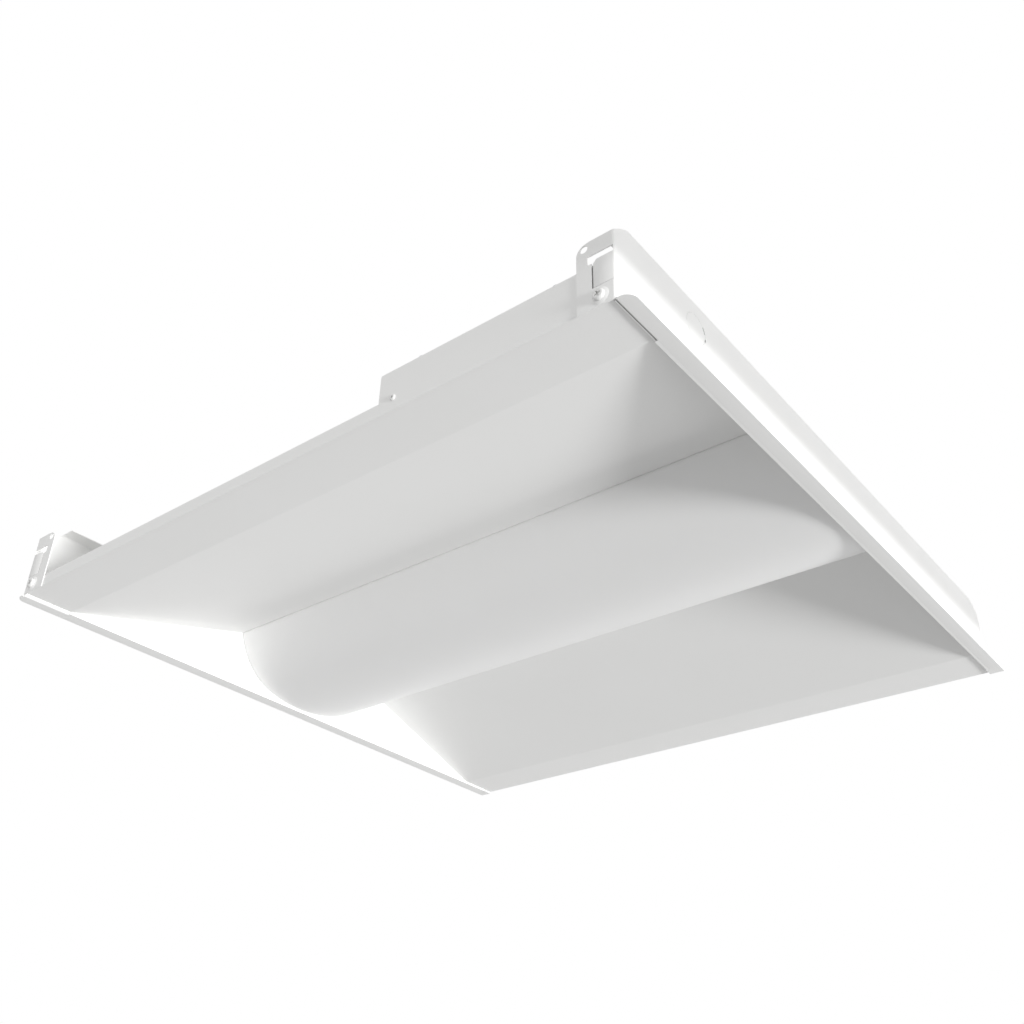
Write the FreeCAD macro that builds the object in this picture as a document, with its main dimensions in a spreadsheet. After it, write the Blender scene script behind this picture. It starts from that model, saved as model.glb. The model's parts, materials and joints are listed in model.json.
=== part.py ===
import FreeCAD, Part
import Sketcher
import math
import os

# Recessed troffer light for a 2 ft by 2 ft opening in a suspended ceiling, in millimetres.
# The origin is at the middle of the opening, level with the underside of the end flanges.
# +Z points up into the space above the ceiling, and +Y runs along the lens.
# The wiring box stands over the -X edge, at its -Y end.

SIZES = [
    ("half_width", 301.625, "from the middle to the outer edge of a flange"),
    ("sheet_gauge", 0.7, "thickness of the painted steel sheet"),
    ("sheet_fit", 0.1, "play between two sheets that lap"),
    ("edge_gap", 0.3, "play between a sheet's cut edge and its neighbour"),
    ("flange_reach", 10.2, "end plate flange, outwards from the plate"),
    ("right_rim", 9.2, "rim outside the right side wall"),
    ("plate_height", 66.7, "end plate, from the flange to its rolled top"),
    ("roll_radius", 2.5, "outside of the end plate's rolled top edge"),
    ("lip_width", 15.0, "rolled top of the end plate, roll included"),
    ("corner_run", 20.0, "sloping top corner of the end plate, along X"),
    ("corner_curve", 60.0, "radius of that sloping corner"),
    ("flange_corner", 7.0, "rounded left corner of an end flange"),
    ("rim_corner", 1.5, "rounded right corner of an end flange"),
    ("flap_width", 26.0, "end plate's side flap, along Y"),
    ("flap_height", 53.6, "top of the side flap"),
    ("flap_corner", 8.0, "rounded top corner of the side flap"),
    ("hanger_radius", 2.7, "hole for a hanger wire"),
    ("hanger_inset", 5.3, "hanger hole, in from the flap's free edge"),
    ("hanger_drop", 4.0, "hanger hole, down from the flap's top"),
    ("slot_gap", 3.5, "slot above a grid clip"),
    ("slot_end_drop", 2.0, "slot's wide end, down past the clip's top"),
    ("slot_end_run", 2.9, "slot's wide end, past the slit"),
    ("clip_top", 37.5, "top of a grid clip"),
    ("clip_foot", 16.6, "bend line at the foot of a grid clip"),
    ("clip_width", 13.3, "grid clip, along Y"),
    ("clip_corner", 2.5, "cut corner of a grid clip"),
    ("clip_play", 0.6, "clearance under the foot of a grid clip"),
    ("slit_width", 1.2, "slit beside a grid clip"),
    ("boss_radius", 6.6, "raised seat of a corner screw"),
    ("boss_rise", 0.8, "how far that seat stands out"),
    ("corner_screw_inset", 10.4, "corner screw, in from the plate's face"),
    ("corner_screw_level", 8.0, "height of the corner screws"),
    ("knockout_radius", 11.1, "round knockout in an end plate"),
    ("knockout_inset", 91.1, "knockout's centre, in from the side"),
    ("knockout_drop", 23.4, "knockout's centre, down from the plate's top"),
    ("knockout_slot", 0.9, "width of the slot round the knockout"),
    ("knockout_tie", 2.6, "width of the ties that hold the knockout"),
    ("band_width", 43.0, "flat band along each side"),
    ("band_level", 1.9, "underside of the flat bands"),
    ("cusp_x", 90.0, "upper edge of a sloping panel, from the middle"),
    ("cusp_drop", 19.7, "that edge, down from the end plate's top"),
    ("upstand_gap", 3.3, "between the upright lip on that edge and the channel's top"),
    ("wall_low", 14.8, "top of the side walls"),
    ("wall_high", 37.7, "top of the side wall at the wiring box"),
    ("wall_roll", 5.0, "outside of the rolled top of a side wall"),
    ("wall_lip", 6.0, "flat lip past that roll"),
    ("end_inset", 1.4, "foot of an end reflector's lit face, in from the end plate's face"),
    ("end_lean", 0.268, "run for each unit of rise of an end reflector"),
    ("end_margin", 4.0, "end reflector, above the sloping panels"),
    ("end_shoulder", 6.0, "end reflector's upright edge, out from the channel"),
    ("channel_leg", 14.0, "depth of the light channel's side legs"),
    ("lens_gauge", 1.6, "thickness of the lens"),
    ("lens_side_gap", 1.0, "between the lens and the panels' upper edges"),
    ("lens_end_gap", 0.6, "between the lens and an end reflector"),
    ("lens_bottom", 2.5, "lowest line of the lens"),
    ("lens_crown_radius", 162.5, "outside of the lens's middle curve"),
    ("lens_crown_x", 40.0, "edge of that curve, from the middle"),
    ("lens_edge_drop", 1.0, "where the lens's flanks turn upright, under the panel's edge"),
    ("lens_lip_gap", 9.3, "between the lens's upright edges and the channel's top"),
    ("clip_leaf", 0.4, "thickness of a lens spring"),
    ("clip_leaf_width", 14.0, "lens spring, along Y"),
    ("clip_leaf_foot", 11.0, "lens spring's foot, along X"),
    ("clip_leaf_reach", 15.0, "lens spring, down from the channel"),
    ("clip_leaf_inset", 111.4, "lens springs, in from the end plates' faces"),
    ("board_x", 45.0, "middle of a light board"),
    ("board_width", 24.0, "light board, along X"),
    ("board_inset", 29.4, "light board's end, in from the end plate's face"),
    ("board_gauge", 1.2, "thickness of a light board"),
    ("emitter_pitch", 24.0, "spacing of the emitters"),
    ("emitter_margin", 8.0, "least room between an emitter's middle and the board's end"),
    ("emitter_width", 2.8, "emitter, along X"),
    ("emitter_length", 3.5, "emitter, along Y"),
    ("emitter_height", 0.7, "emitter's height"),
    ("board_screw_x", 8.0, "board screws, from the board's middle line"),
    ("board_screw_inset", 34.0, "outer board screws, in from the board's end"),
    ("screw_radius", 1.5, "shank of the small screws"),
    ("screw_head", 3.2, "head radius of the small screws"),
    ("screw_head_rise", 1.6, "head height of the small screws"),
    ("screw_length", 4.0, "shank length of the small screws"),
    ("corner_shank", 2.0, "shank radius of the corner screws"),
    ("corner_head", 4.0, "head radius of the corner screws"),
    ("corner_head_rise", 2.0, "head height of the corner screws"),
    ("corner_length", 9.0, "shank length of the corner screws"),
    ("hole_play", 0.15, "clearance round a screw's shank"),
    ("recess_width", 0.9, "arm width of a cross recess"),
    ("recess_depth", 0.8, "depth of a cross recess"),
    ("lap_screw_x", 62.0, "screws of the channel's ends, from the middle"),
    ("lap_screw_inset", 11.4, "those screws, in from the plate's face"),
    ("leg_screw_inset", 71.4, "outer screws through the channel's legs, in from the end plates' faces"),
    ("lid_drop", 6.7, "top of the wiring box, down from the end plate's top"),
    ("lid_foot_inset", 11.6, "foot of the wiring box's outer slope, in from the side"),
    ("lid_slope_run", 24.0, "run of that slope"),
    ("box_width", 136.6, "wiring box, from the side to its inner wall"),
    ("lid_tread", 10.0, "foot of the inner wall, on the sloping panel"),
    ("lid_screw_inset", 7.6, "lid screws, in from the side"),
    ("lid_screw_end", 30.0, "lid screws, in from the lid's ends"),
    ("header_gap", 0.4, "between the lid and the fixed header"),
    ("box_end_tab", 18.0, "side tab of the wiring box's end"),
    ("box_end_screw_inset", 12.6, "screw through that tab, in from the box's end"),
    ("box_end_screw_level", 11.4, "height of that screw"),
    ("box_end_screw_head", 2.2, "head radius of that screw"),
    ("box_end_screw_rise", 1.2, "head height of that screw"),
    ("entry_inset", 17.0, "supply entry, out from the box's inner wall"),
    ("entry_end_inset", 40.0, "supply entry, in from the box's end"),
    ("entry_radius", 11.1, "hole for the supply bushing"),
    ("bushing_bore", 8.0, "bore of the supply bushing"),
    ("bushing_rim", 13.5, "rim radius of the supply bushing"),
    ("bushing_rim_width", 1.6, "thickness of that rim"),
    ("bushing_length", 8.0, "length of the supply bushing"),
    ("bushing_play", 0.1, "clearance round the bushing"),
    ("lead_hole_inset", 31.0, "hole for the board leads, out from the box's inner wall"),
    ("lead_hole_radius", 3.2, "radius of the holes for the board leads"),
    ("tray_leg", 5.3, "top of the driver tray, above the panel at its inner leg"),
    ("tray_outer_inset", 17.6, "outer edge of the driver tray, in from the side"),
    ("tray_side_gap", 11.0, "between the driver tray and the box's inner wall"),
    ("tray_near_inset", 19.4, "driver tray's near end, in from the end plate's face"),
    ("tray_end_gap", 6.5, "between the driver tray and the sheet that ends the box"),
    ("tray_foot", 14.0, "foot of the driver tray, on the flat band"),
    ("driver_inset", 73.6, "middle of the driver, in from the side"),
    ("driver_margin", 5.0, "between the driver's ears and the tray's ends"),
    ("driver_width", 56.0, "driver case, along X"),
    ("driver_length", 128.0, "driver case, along Y"),
    ("driver_height", 24.0, "driver case, with its lid"),
    ("driver_wall", 0.8, "wall of the driver case"),
    ("driver_ear", 8.0, "fixing ears at the driver's ends"),
    ("circuit_lift", 3.0, "circuit board, above the case's floor"),
    ("circuit_gauge", 1.6, "thickness of the circuit board"),
    ("circuit_gap", 0.5, "between the circuit board and the case"),
    ("spacer_inset", 5.2, "circuit board's spacers, in from the case's sides"),
    ("winding_size", 20.0, "transformer, along X and Y"),
    ("winding_height", 15.0, "height of the transformer"),
    ("can_radius", 5.0, "radius of a capacitor"),
    ("can_height", 14.0, "height of a capacitor"),
    ("terminal_width", 20.0, "terminal block, along X"),
    ("terminal_length", 9.0, "terminal block, along Y"),
    ("terminal_height", 9.0, "height of a terminal block"),
    ("terminal_reach", 1.0, "terminal block, out of the case"),
    ("terminal_exit", 5.0, "leads, off the middle of a terminal block"),
    ("lead_radius", 1.1, "radius of an insulated lead"),
    ("lead_pitch", 3.0, "spacing of a pair of leads"),
    ("lead_bend", 4.4, "bend radius of the board leads"),
    ("lead_run", 8.0, "straight run of a lead next to a terminal or a hole"),
    ("lead_lift", 4.0, "board leads, above the driver tray"),
    ("lead_turn_gap", 18.0, "where the board leads turn inwards, past the wiring box's end"),
    ("lead_drop", 7.3, "board leads, down from the channel's top"),
    ("lead_climb_gap", 30.0, "level run of the board leads outside the panel's upper edge"),
    ("supply_lead_bend", 3.3, "bend radius of the supply leads"),
    ("joiner_width", 9.0, "board connector, along X"),
    ("joiner_length", 12.0, "board connector, along Y"),
    ("joiner_height", 7.5, "height of a board connector"),
    ("plug_inset", 27.6, "middle of the supply disconnect, in from the side"),
    ("plug_width", 14.0, "supply disconnect, along X"),
    ("plug_height", 10.0, "height of the supply disconnect"),
    ("plug_length", 17.0, "length of each half of the disconnect"),
    ("plug_meet_inset", 58.0, "where the two halves meet, in from the tray's near end"),
    ("plug_nose", 6.0, "plug's nose, into the socket"),
    ("plug_nose_play", 0.3, "clearance round the plug's nose"),
    ("plug_nose_wall", 1.6, "socket's wall round the nose"),
    ("earth_inset", 10.0, "earth screw, in from the tray's inner edge and near end"),
]

doc = FreeCAD.newDocument("recessed_troffer")
sheet = doc.addObject("Spreadsheet::Sheet", "Sizes")


class Size:
    """A length as a number, with the expression on the sheet that gives the same length."""

    def __init__(self, number, text):
        self.number = number
        self.text = text

    def __add__(self, other):
        other = size(other)
        return Size(self.number + other.number, f"({self.text} + {other.text})")

    def __sub__(self, other):
        other = size(other)
        return Size(self.number - other.number, f"({self.text} - {other.text})")

    def __mul__(self, other):
        other = size(other)
        return Size(self.number * other.number, f"({self.text} * {other.text})")

    def __truediv__(self, other):
        other = size(other)
        return Size(self.number / other.number, f"({self.text} / {other.text})")

    def __neg__(self):
        return size(0) - self

    def __radd__(self, other):
        return size(other) + self

    def __rsub__(self, other):
        return size(other) - self

    def __rmul__(self, other):
        return size(other) * self


def size(value):
    """Give a plain number the same form as a length of the sheet."""
    if isinstance(value, Size):
        return value
    if value < 0:
        return Size(float(value), f"(0 - {-float(value)})")
    return Size(float(value), f"{float(value)}")


def root(value):
    return Size(math.sqrt(value.number), f"sqrt({value.text})")


class Lengths:
    """Every size of the sheet by its name."""


def fill_sheet():
    """Write each size to a cell with its alias, and return them all by name."""
    lengths = Lengths()
    for row, (alias, value, meaning) in enumerate(SIZES, start=1):
        sheet.set(f"A{row}", meaning)
        sheet.set(f"B{row}", str(value))
        sheet.setAlias(f"B{row}", alias)
        setattr(lengths, alias, Size(float(value), f"Sizes.{alias}"))
    doc.recompute()
    return lengths


d = fill_sheet()
SUBPARTS = {}

# ---------------------------------------------------------------- places that several pieces share

plate_face = d.half_width - d.flange_reach
plate_inside = plate_face - d.sheet_gauge
right_fold = d.half_width - d.right_rim
left_wall = d.half_width - d.sheet_gauge - d.sheet_fit
right_wall = right_fold - d.sheet_gauge - d.sheet_fit
band_inner = d.half_width - d.band_width
end_foot = plate_face - d.end_inset
lap_edge = plate_face - d.roll_radius - d.sheet_fit
clip_outer = plate_inside - d.edge_gap
right_flap_foot = d.band_level + d.sheet_gauge + d.sheet_fit

lip_under = d.plate_height - d.sheet_gauge
channel_under = lip_under - d.sheet_gauge
flange_under = channel_under - d.sheet_gauge
board_under = channel_under - d.board_gauge
cusp_level = d.plate_height - d.cusp_drop
upstand_top = channel_under - d.upstand_gap
leg_screw_level = lip_under - d.channel_leg * 0.5
lead_channel_level = channel_under - d.lead_drop
lid_level = d.plate_height - d.lid_drop

channel_half = d.cusp_x + 2 * d.sheet_gauge
panel_slope = (cusp_level - d.band_level) / (band_inner - d.cusp_x)
panel_rise = d.sheet_gauge * root(1 + panel_slope * panel_slope)
lean_width = d.sheet_gauge * root(1 + d.end_lean * d.end_lean)
board_half_length = plate_face - d.board_inset
small_hole = d.screw_radius + d.hole_play


def panel_top(x):
    """Height of a sloping panel's upper face at a distance x from the middle."""
    return d.band_level + panel_slope * (band_inner - x) + panel_rise


def end_face(z):
    """Distance of an end reflector's lit face from the middle, at height z."""
    return end_foot - d.end_lean * z


# The wiring box, from its outer side to its inner wall, and from the near end plate inwards:
# the driver and its tray set where the box ends.
lid_foot_x = d.half_width - d.lid_foot_inset
lid_rise_x = lid_foot_x - d.lid_slope_run
lid_inner_x = d.half_width - d.box_width
lid_screw_x = d.half_width - d.lid_screw_inset
entry_x = lid_inner_x + d.entry_inset
lead_hole_x = lid_inner_x + d.lead_hole_inset
tray_outer_x = d.half_width - d.tray_outer_inset
tray_inner_x = lid_inner_x + d.tray_side_gap
tray_level = panel_top(tray_inner_x) + d.tray_leg
lead_level = tray_level + d.lead_lift
driver_x = d.half_width - d.driver_inset
plug_x = d.half_width - d.plug_inset
earth_x = tray_inner_x + d.earth_inset

tray_near_y = plate_face - d.tray_near_inset
driver_y = tray_near_y - d.driver_margin - d.driver_ear - d.driver_length * 0.5
tray_far_y = driver_y - d.driver_length * 0.5 - d.driver_ear - d.driver_margin
box_end_face = tray_far_y - d.tray_end_gap - d.sheet_gauge - d.sheet_fit
box_start = box_end_face - d.sheet_gauge
entry_y = box_start + d.entry_end_inset
box_end_screw_y = box_start + d.box_end_screw_inset
lead_turn_y = box_start - d.lead_turn_gap
plug_meet_y = tray_near_y - d.plug_meet_inset
earth_y = tray_near_y - d.earth_inset

# A cut or a drill runs this far past what it cuts.
MARGIN = 1.0


# ---------------------------------------------------------------- sketches and features

PLANES = {"X": ("YZ_Plane", 1), "Y": ("XZ_Plane", -1), "Z": ("XY_Plane", 1)}
DIRECTIONS = {
    "+X": FreeCAD.Vector(1, 0, 0),
    "-X": FreeCAD.Vector(-1, 0, 0),
    "+Y": FreeCAD.Vector(0, 1, 0),
    "-Y": FreeCAD.Vector(0, -1, 0),
    "+Z": FreeCAD.Vector(0, 0, 1),
    "-Z": FreeCAD.Vector(0, 0, -1),
}


def new_body(label):
    body = doc.addObject("PartDesign::Body", label)
    body.Label = label
    SUBPARTS[label] = body
    return body


def new_sketch(body, name, axis, level):
    """Start a sketch across the given axis, on the body's own plane moved to a level."""
    role, facing = PLANES[axis]
    sketch = body.newObject("Sketcher::SketchObject", name)
    plane = next(feature for feature in body.Origin.OriginFeatures if feature.Role == role)
    sketch.AttachmentSupport = [(plane, "")]
    sketch.MapMode = "FlatFace"
    sketch.setExpression(".AttachmentOffset.Base.z", (size(level) * facing).text)
    return sketch


def tie(sketch, kind, where, value):
    """Add a dimension to a sketch and bind it to the sheet."""
    value = size(value)
    index = sketch.addConstraint(Sketcher.Constraint(kind, *where, value.number))
    sketch.setExpression(f"Constraints[{index}]", value.text)


def arc_between(start, end, radius, turn):
    """The short arc between two points; turn is 1 with its centre on the left, -1 on the right."""
    chord = end - start
    middle = (start + end) * 0.5
    rise = math.sqrt(radius * radius - chord.Length * chord.Length / 4)
    left = FreeCAD.Vector(-chord.y, chord.x, 0) / chord.Length
    centre = middle + left * rise * turn
    first, last = (start, end) if turn > 0 else (end, start)
    angles = [math.atan2(point.y - centre.y, point.x - centre.x) for point in (first, last)]
    circle = Part.Circle(centre, FreeCAD.Vector(0, 0, 1), radius)
    return Part.ArcOfCircle(circle, *angles)


def draw_outline(sketch, points, arcs=None):
    """Draw a closed outline; arcs gives the radius and turn of the edges that are round."""
    arcs = arcs or {}
    points = [(size(x), size(y)) for x, y in points]
    spots = [FreeCAD.Vector(x.number, y.number, 0) for x, y in points]
    offset = sketch.GeometryCount
    tips = []
    for index, start in enumerate(spots):
        end = spots[(index + 1) % len(spots)]
        if index in arcs:
            radius, turn = arcs[index]
            sketch.addGeometry(arc_between(start, end, size(radius).number, turn), False)
            tips.append((1, 2) if turn > 0 else (2, 1))
        else:
            sketch.addGeometry(Part.LineSegment(start, end), False)
            tips.append((1, 2))
    for index in range(len(spots)):
        after = (index + 1) % len(spots)
        ends = (offset + index, tips[index][1], offset + after, tips[after][0])
        sketch.addConstraint(Sketcher.Constraint("Coincident", *ends))
    for index, (x, y) in enumerate(points):
        tie(sketch, "DistanceX", (-1, 1, offset + index, tips[index][0]), x)
        tie(sketch, "DistanceY", (-1, 1, offset + index, tips[index][0]), y)
    for index, (radius, _turn) in arcs.items():
        tie(sketch, "Radius", (offset + index,), radius)


def draw_circle(sketch, x, y, radius):
    x, y, radius = size(x), size(y), size(radius)
    centre = FreeCAD.Vector(x.number, y.number, 0)
    index = sketch.addGeometry(Part.Circle(centre, FreeCAD.Vector(0, 0, 1), radius.number), False)
    tie(sketch, "DistanceX", (-1, 1, index, 3), x)
    tie(sketch, "DistanceY", (-1, 1, index, 3), y)
    tie(sketch, "Radius", (index,), radius)


def raise_pad(body, name, axis, low, high, draw):
    """Fill a drawn outline from low to high along an axis."""
    start = high if axis == "Y" else low
    sketch = new_sketch(body, f"{name}_sketch", axis, start)
    draw(sketch)
    pad = body.newObject("PartDesign::Pad", name)
    pad.Profile = sketch
    pad.setExpression("Length", (size(high) - low).text)
    return pad


def cut_pocket(body, name, axis, low, high, draw):
    """Cut a drawn outline away from low to high along an axis."""
    start = low if axis == "Y" else high
    sketch = new_sketch(body, f"{name}_sketch", axis, start)
    draw(sketch)
    pocket = body.newObject("PartDesign::Pocket", name)
    pocket.Profile = sketch
    pocket.setExpression("Length", (size(high) - low).text)
    return pocket


def slab(body, name, axis, low, high, points, arcs=None):
    return raise_pad(body, name, axis, low, high, lambda sketch: draw_outline(sketch, points, arcs))


def cut(body, name, axis, low, high, points, arcs=None):
    return cut_pocket(body, name, axis, low, high, lambda sketch: draw_outline(sketch, points, arcs))


def cut_holes(body, name, axis, low, high, centres, radius):
    def draw(sketch):
        for x, y in centres:
            draw_circle(sketch, x, y, radius)

    return cut_pocket(body, name, axis, low, high, draw)


def rectangle(left, right, low, high):
    return [(left, low), (right, low), (right, high), (left, high)]


# ---------------------------------------------------------------- solids from primitives


def put(thing, place, direction="+Z"):
    """Set a primitive at a bound place, with its own Z along a direction."""
    thing.Placement = FreeCAD.Placement(
        FreeCAD.Vector(*[size(value).number for value in place]),
        FreeCAD.Rotation(DIRECTIONS["+Z"], DIRECTIONS[direction]),
    )
    for letter, value in zip("xyz", place):
        thing.setExpression(f".Placement.Base.{letter}", size(value).text)
    return thing


def box(name, low, high):
    thing = doc.addObject("Part::Box", name)
    for side, start, end in zip(("Length", "Width", "Height"), low, high):
        thing.setExpression(side, (size(end) - start).text)
    return put(thing, low)


def cylinder(name, place, direction, radius, length):
    thing = doc.addObject("Part::Cylinder", name)
    thing.setExpression("Radius", size(radius).text)
    thing.setExpression("Height", size(length).text)
    return put(thing, place, direction)


def cone(name, place, direction, foot_radius, top_radius, length):
    thing = doc.addObject("Part::Cone", name)
    thing.setExpression("Radius1", size(foot_radius).text)
    thing.setExpression("Radius2", size(top_radius).text)
    thing.setExpression("Height", size(length).text)
    return put(thing, place, direction)


def fuse(name, things):
    joined = doc.addObject("Part::MultiFuse", name)
    joined.Shapes = things
    return joined


def subtract(name, base, tool):
    left = doc.addObject("Part::Cut", name)
    left.Base = base
    left.Tool = tool
    return left


def group(label, things):
    """Keep several equal solids, each separate, as one sub-part."""
    pack = doc.addObject("Part::Compound", label)
    pack.Links = things
    return name_subpart(label, pack)


def name_subpart(label, thing):
    thing.Label = label
    SUBPARTS[label] = thing
    return thing


def step(place, direction, distance):
    """Move a place along a direction by a distance."""
    vector = DIRECTIONS[direction]
    return tuple(
        size(value) + size(distance) * part if part else size(value)
        for value, part in zip(place, (vector.x, vector.y, vector.z))
    )


# The top of a screw's head, as a share of its foot.
HEAD_TAPER = 0.75


def screw(name, seat, outwards, head_radius, head_rise, shank_radius, shank_length):
    """A pan head screw with a cross recess; its head stands outwards from the seat."""
    inwards = ("-" if outwards[0] == "+" else "+") + outwards[1]
    head = cone(f"{name}_head", seat, outwards, head_radius, head_radius * HEAD_TAPER, head_rise)
    shank = cylinder(f"{name}_shank", seat, inwards, shank_radius, shank_length)
    recess_foot = step(seat, outwards, size(head_rise) - d.recess_depth)
    arms = []
    across = [letter for letter in "XYZ" if letter != outwards[1]]
    for arm in across:
        half = {outwards[1]: None, across[0]: d.recess_width * 0.5, across[1]: d.recess_width * 0.5}
        half[arm] = head_radius * 0.5
        low, high = [], []
        for letter, value in zip("XYZ", recess_foot):
            if letter != outwards[1]:
                low.append(value - half[letter])
                high.append(value + half[letter])
            elif outwards[0] == "+":
                low.append(value)
                high.append(value + head_rise)
            else:
                low.append(value - head_rise)
                high.append(value)
        arms.append(box(f"{name}_arm_{arm}", low, high))
    return subtract(name, fuse(f"{name}_blank", [head, shank]), fuse(f"{name}_recess", arms))


def small_screw(name, seat, outwards, shank_length):
    return screw(name, seat, outwards, d.screw_head, d.screw_head_rise, d.screw_radius, shank_length)


def tube_along(label, route, radius, bend):
    """A round lead along straight runs joined by tangent arcs, as one closed solid."""
    points = [FreeCAD.Vector(*[size(value).number for value in point]) for point in route]
    edges = []
    start = points[0]
    for before, corner, after in zip(points, points[1:], points[2:]):
        inward = (before - corner).normalize()
        onward = (after - corner).normalize()
        half_turn = (math.pi - inward.getAngle(onward)) / 2
        setback = bend.number * math.tan(half_turn)
        enter = corner + inward * setback
        leave = corner + onward * setback
        bisector = (inward + onward).normalize()
        centre = corner + bisector * (bend.number / math.cos(half_turn))
        middle = centre - bisector * bend.number
        edges.append(Part.LineSegment(start, enter).toShape())
        edges.append(Part.Arc(enter, middle, leave).toShape())
        start = leave
    edges.append(Part.LineSegment(start, points[-1]).toShape())
    spine = Part.Wire(edges)
    circle = Part.Circle(points[0], points[1] - points[0], radius.number)
    profile = Part.Wire([circle.toShape()])
    lead = doc.addObject("Part::Feature", label)
    lead.Shape = spine.makePipeShell([profile], True, True)
    return lead


# ---------------------------------------------------------------- end plates


def plate_section(sketch):
    """Flange, upright, roll and lip of the near end plate, in the YZ plane."""
    roll_inside = d.roll_radius - d.sheet_gauge
    roll_level = d.plate_height - d.roll_radius
    roll_edge = plate_face - d.roll_radius
    lip_edge = plate_face - d.lip_width
    points = [
        (-d.half_width, 0),
        (-plate_inside, 0),
        (-plate_inside, roll_level),
        (-roll_edge, lip_under),
        (-lip_edge, lip_under),
        (-lip_edge, d.plate_height),
        (-roll_edge, d.plate_height),
        (-plate_face, roll_level),
        (-plate_face, d.sheet_gauge),
        (-d.half_width, d.sheet_gauge),
    ]
    draw_outline(sketch, points, {2: (roll_inside, -1), 6: (d.roll_radius, 1)})


def trim_plate_corners(body):
    """Slope the top corners, and cut the plate back to the fold of its right flap."""
    near = -d.half_width - MARGIN
    deep = -plate_face + d.lip_width + MARGIN
    above = d.plate_height + MARGIN
    left = -d.half_width
    slope_top = left + d.corner_run
    corner = [(left - MARGIN, d.flap_height), (left, d.flap_height), (slope_top, d.plate_height)]
    corner += [(slope_top, above), (left - MARGIN, above)]
    cut(body, "left_corner_cut", "Y", near, deep, corner, {1: (d.corner_curve, -1)})
    slope_top = right_fold - d.corner_run
    outside = d.half_width + MARGIN
    corner = [(right_fold, d.sheet_gauge), (outside, d.sheet_gauge), (outside, above)]
    corner += [(slope_top, above), (slope_top, d.plate_height), (right_fold, d.flap_height)]
    cut(body, "right_corner_cut", "Y", near, deep, corner, {4: (d.corner_curve, -1)})


def round_flange(body):
    """Round the two outer corners of the flange."""
    low, high = -MARGIN, MARGIN + d.sheet_gauge
    edge = d.half_width
    past = edge + MARGIN
    inner = edge - d.flange_corner
    corner = [(-past, -past), (-inner, -past), (-inner, -edge), (-edge, -inner), (-past, -inner)]
    cut(body, "left_flange_corner", "Z", low, high, corner, {2: (d.flange_corner, -1)})
    inner = edge - d.rim_corner
    corner = [(past, -past), (past, -inner), (edge, -inner), (inner, -edge), (inner, -past)]
    cut(body, "right_flange_corner", "Z", low, high, corner, {2: (d.rim_corner, -1)})


def add_flap(body, side, outer):
    """Side flap with its hanger hole, the opening of the grid clip and the corner screw's seat."""
    low = outer if side < 0 else outer - d.sheet_gauge
    high = low + d.sheet_gauge
    name = "left" if side < 0 else "right"
    free_edge = -plate_face + d.flap_width
    foot = d.sheet_gauge if side < 0 else right_flap_foot
    points = [(-plate_face, foot), (free_edge, foot)]
    points += [(free_edge, d.flap_height - d.flap_corner), (free_edge - d.flap_corner, d.flap_height)]
    points += [(-plate_face, d.flap_height)]
    slab(body, f"{name}_flap", "X", low, high, points, {2: (d.flap_corner, 1)})
    seat_y = -plate_face + d.corner_screw_inset
    boss_low = low - d.boss_rise if side < 0 else high
    raise_pad(
        body,
        f"{name}_screw_seat",
        "X",
        boss_low,
        boss_low + d.boss_rise,
        lambda sketch: draw_circle(sketch, seat_y, d.corner_screw_level, d.boss_radius),
    )
    if side > 0:
        below = rectangle(-plate_inside, free_edge + MARGIN, d.sheet_gauge, foot)
        cut(body, "right_seat_trim", "X", low, high + d.boss_rise + MARGIN, below)
    hole = d.corner_shank + d.hole_play
    drill_low, drill_high = low - MARGIN - d.boss_rise, high + MARGIN + d.boss_rise
    seat = [(seat_y, d.corner_screw_level)]
    cut_holes(body, f"{name}_screw_hole", "X", drill_low, drill_high, seat, hole)
    hanger = [(free_edge - d.hanger_inset, d.flap_height - d.hanger_drop)]
    cut_holes(body, f"{name}_hanger_hole", "X", drill_low, drill_high, hanger, d.hanger_radius)
    slit_edge = -clip_outer + d.clip_width + d.slit_width
    wide_end = slit_edge + d.slot_end_run
    foot = d.clip_foot - d.clip_play
    slot_top = d.clip_top + d.slot_gap
    slot_drop = d.clip_top - d.slot_end_drop
    points = [(-plate_inside, foot), (slit_edge, foot), (slit_edge, slot_drop), (wide_end, slot_drop)]
    points += [(wide_end, slot_top), (-plate_inside, slot_top)]
    cut(body, f"{name}_clip_opening", "X", low - MARGIN, high + MARGIN, points)


def cut_knockout(body):
    """A ring slot in four quarters; the ties between them hold the round blank."""
    outer = d.knockout_radius + d.knockout_slot * 0.5
    inner = d.knockout_radius - d.knockout_slot * 0.5
    half_tie = d.knockout_tie * 0.5
    outer_end = root(outer * outer - half_tie * half_tie)
    inner_end = root(inner * inner - half_tie * half_tie)
    x, z = d.knockout_inset - d.half_width, d.plate_height - d.knockout_drop

    def draw(sketch):
        for across, up in ((1, 1), (-1, 1), (-1, -1), (1, -1)):
            turn = across * up
            points = [
                (x + outer_end * across, z + half_tie * up),
                (x + half_tie * across, z + outer_end * up),
                (x + half_tie * across, z + inner_end * up),
                (x + inner_end * across, z + half_tie * up),
            ]
            draw_outline(sketch, points, {0: (outer, turn), 2: (inner, -turn)})

    cut_pocket(body, "knockout_slots", "Y", -plate_face - MARGIN, -plate_inside + MARGIN, draw)


def near_end_plate():
    body = new_body("end_plate_near")
    raise_pad(body, "plate_sheet", "X", -d.half_width, d.half_width, plate_section)
    trim_plate_corners(body)
    round_flange(body)
    add_flap(body, -1, -d.half_width)
    add_flap(body, 1, right_fold)
    cut_knockout(body)
    lap_y = -plate_face + d.lap_screw_inset
    lap = [(-d.lap_screw_x, lap_y), (d.lap_screw_x, lap_y)]
    cut_holes(body, "lap_holes", "Z", channel_under, d.plate_height + MARGIN, lap, small_hole)
    return body


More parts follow.
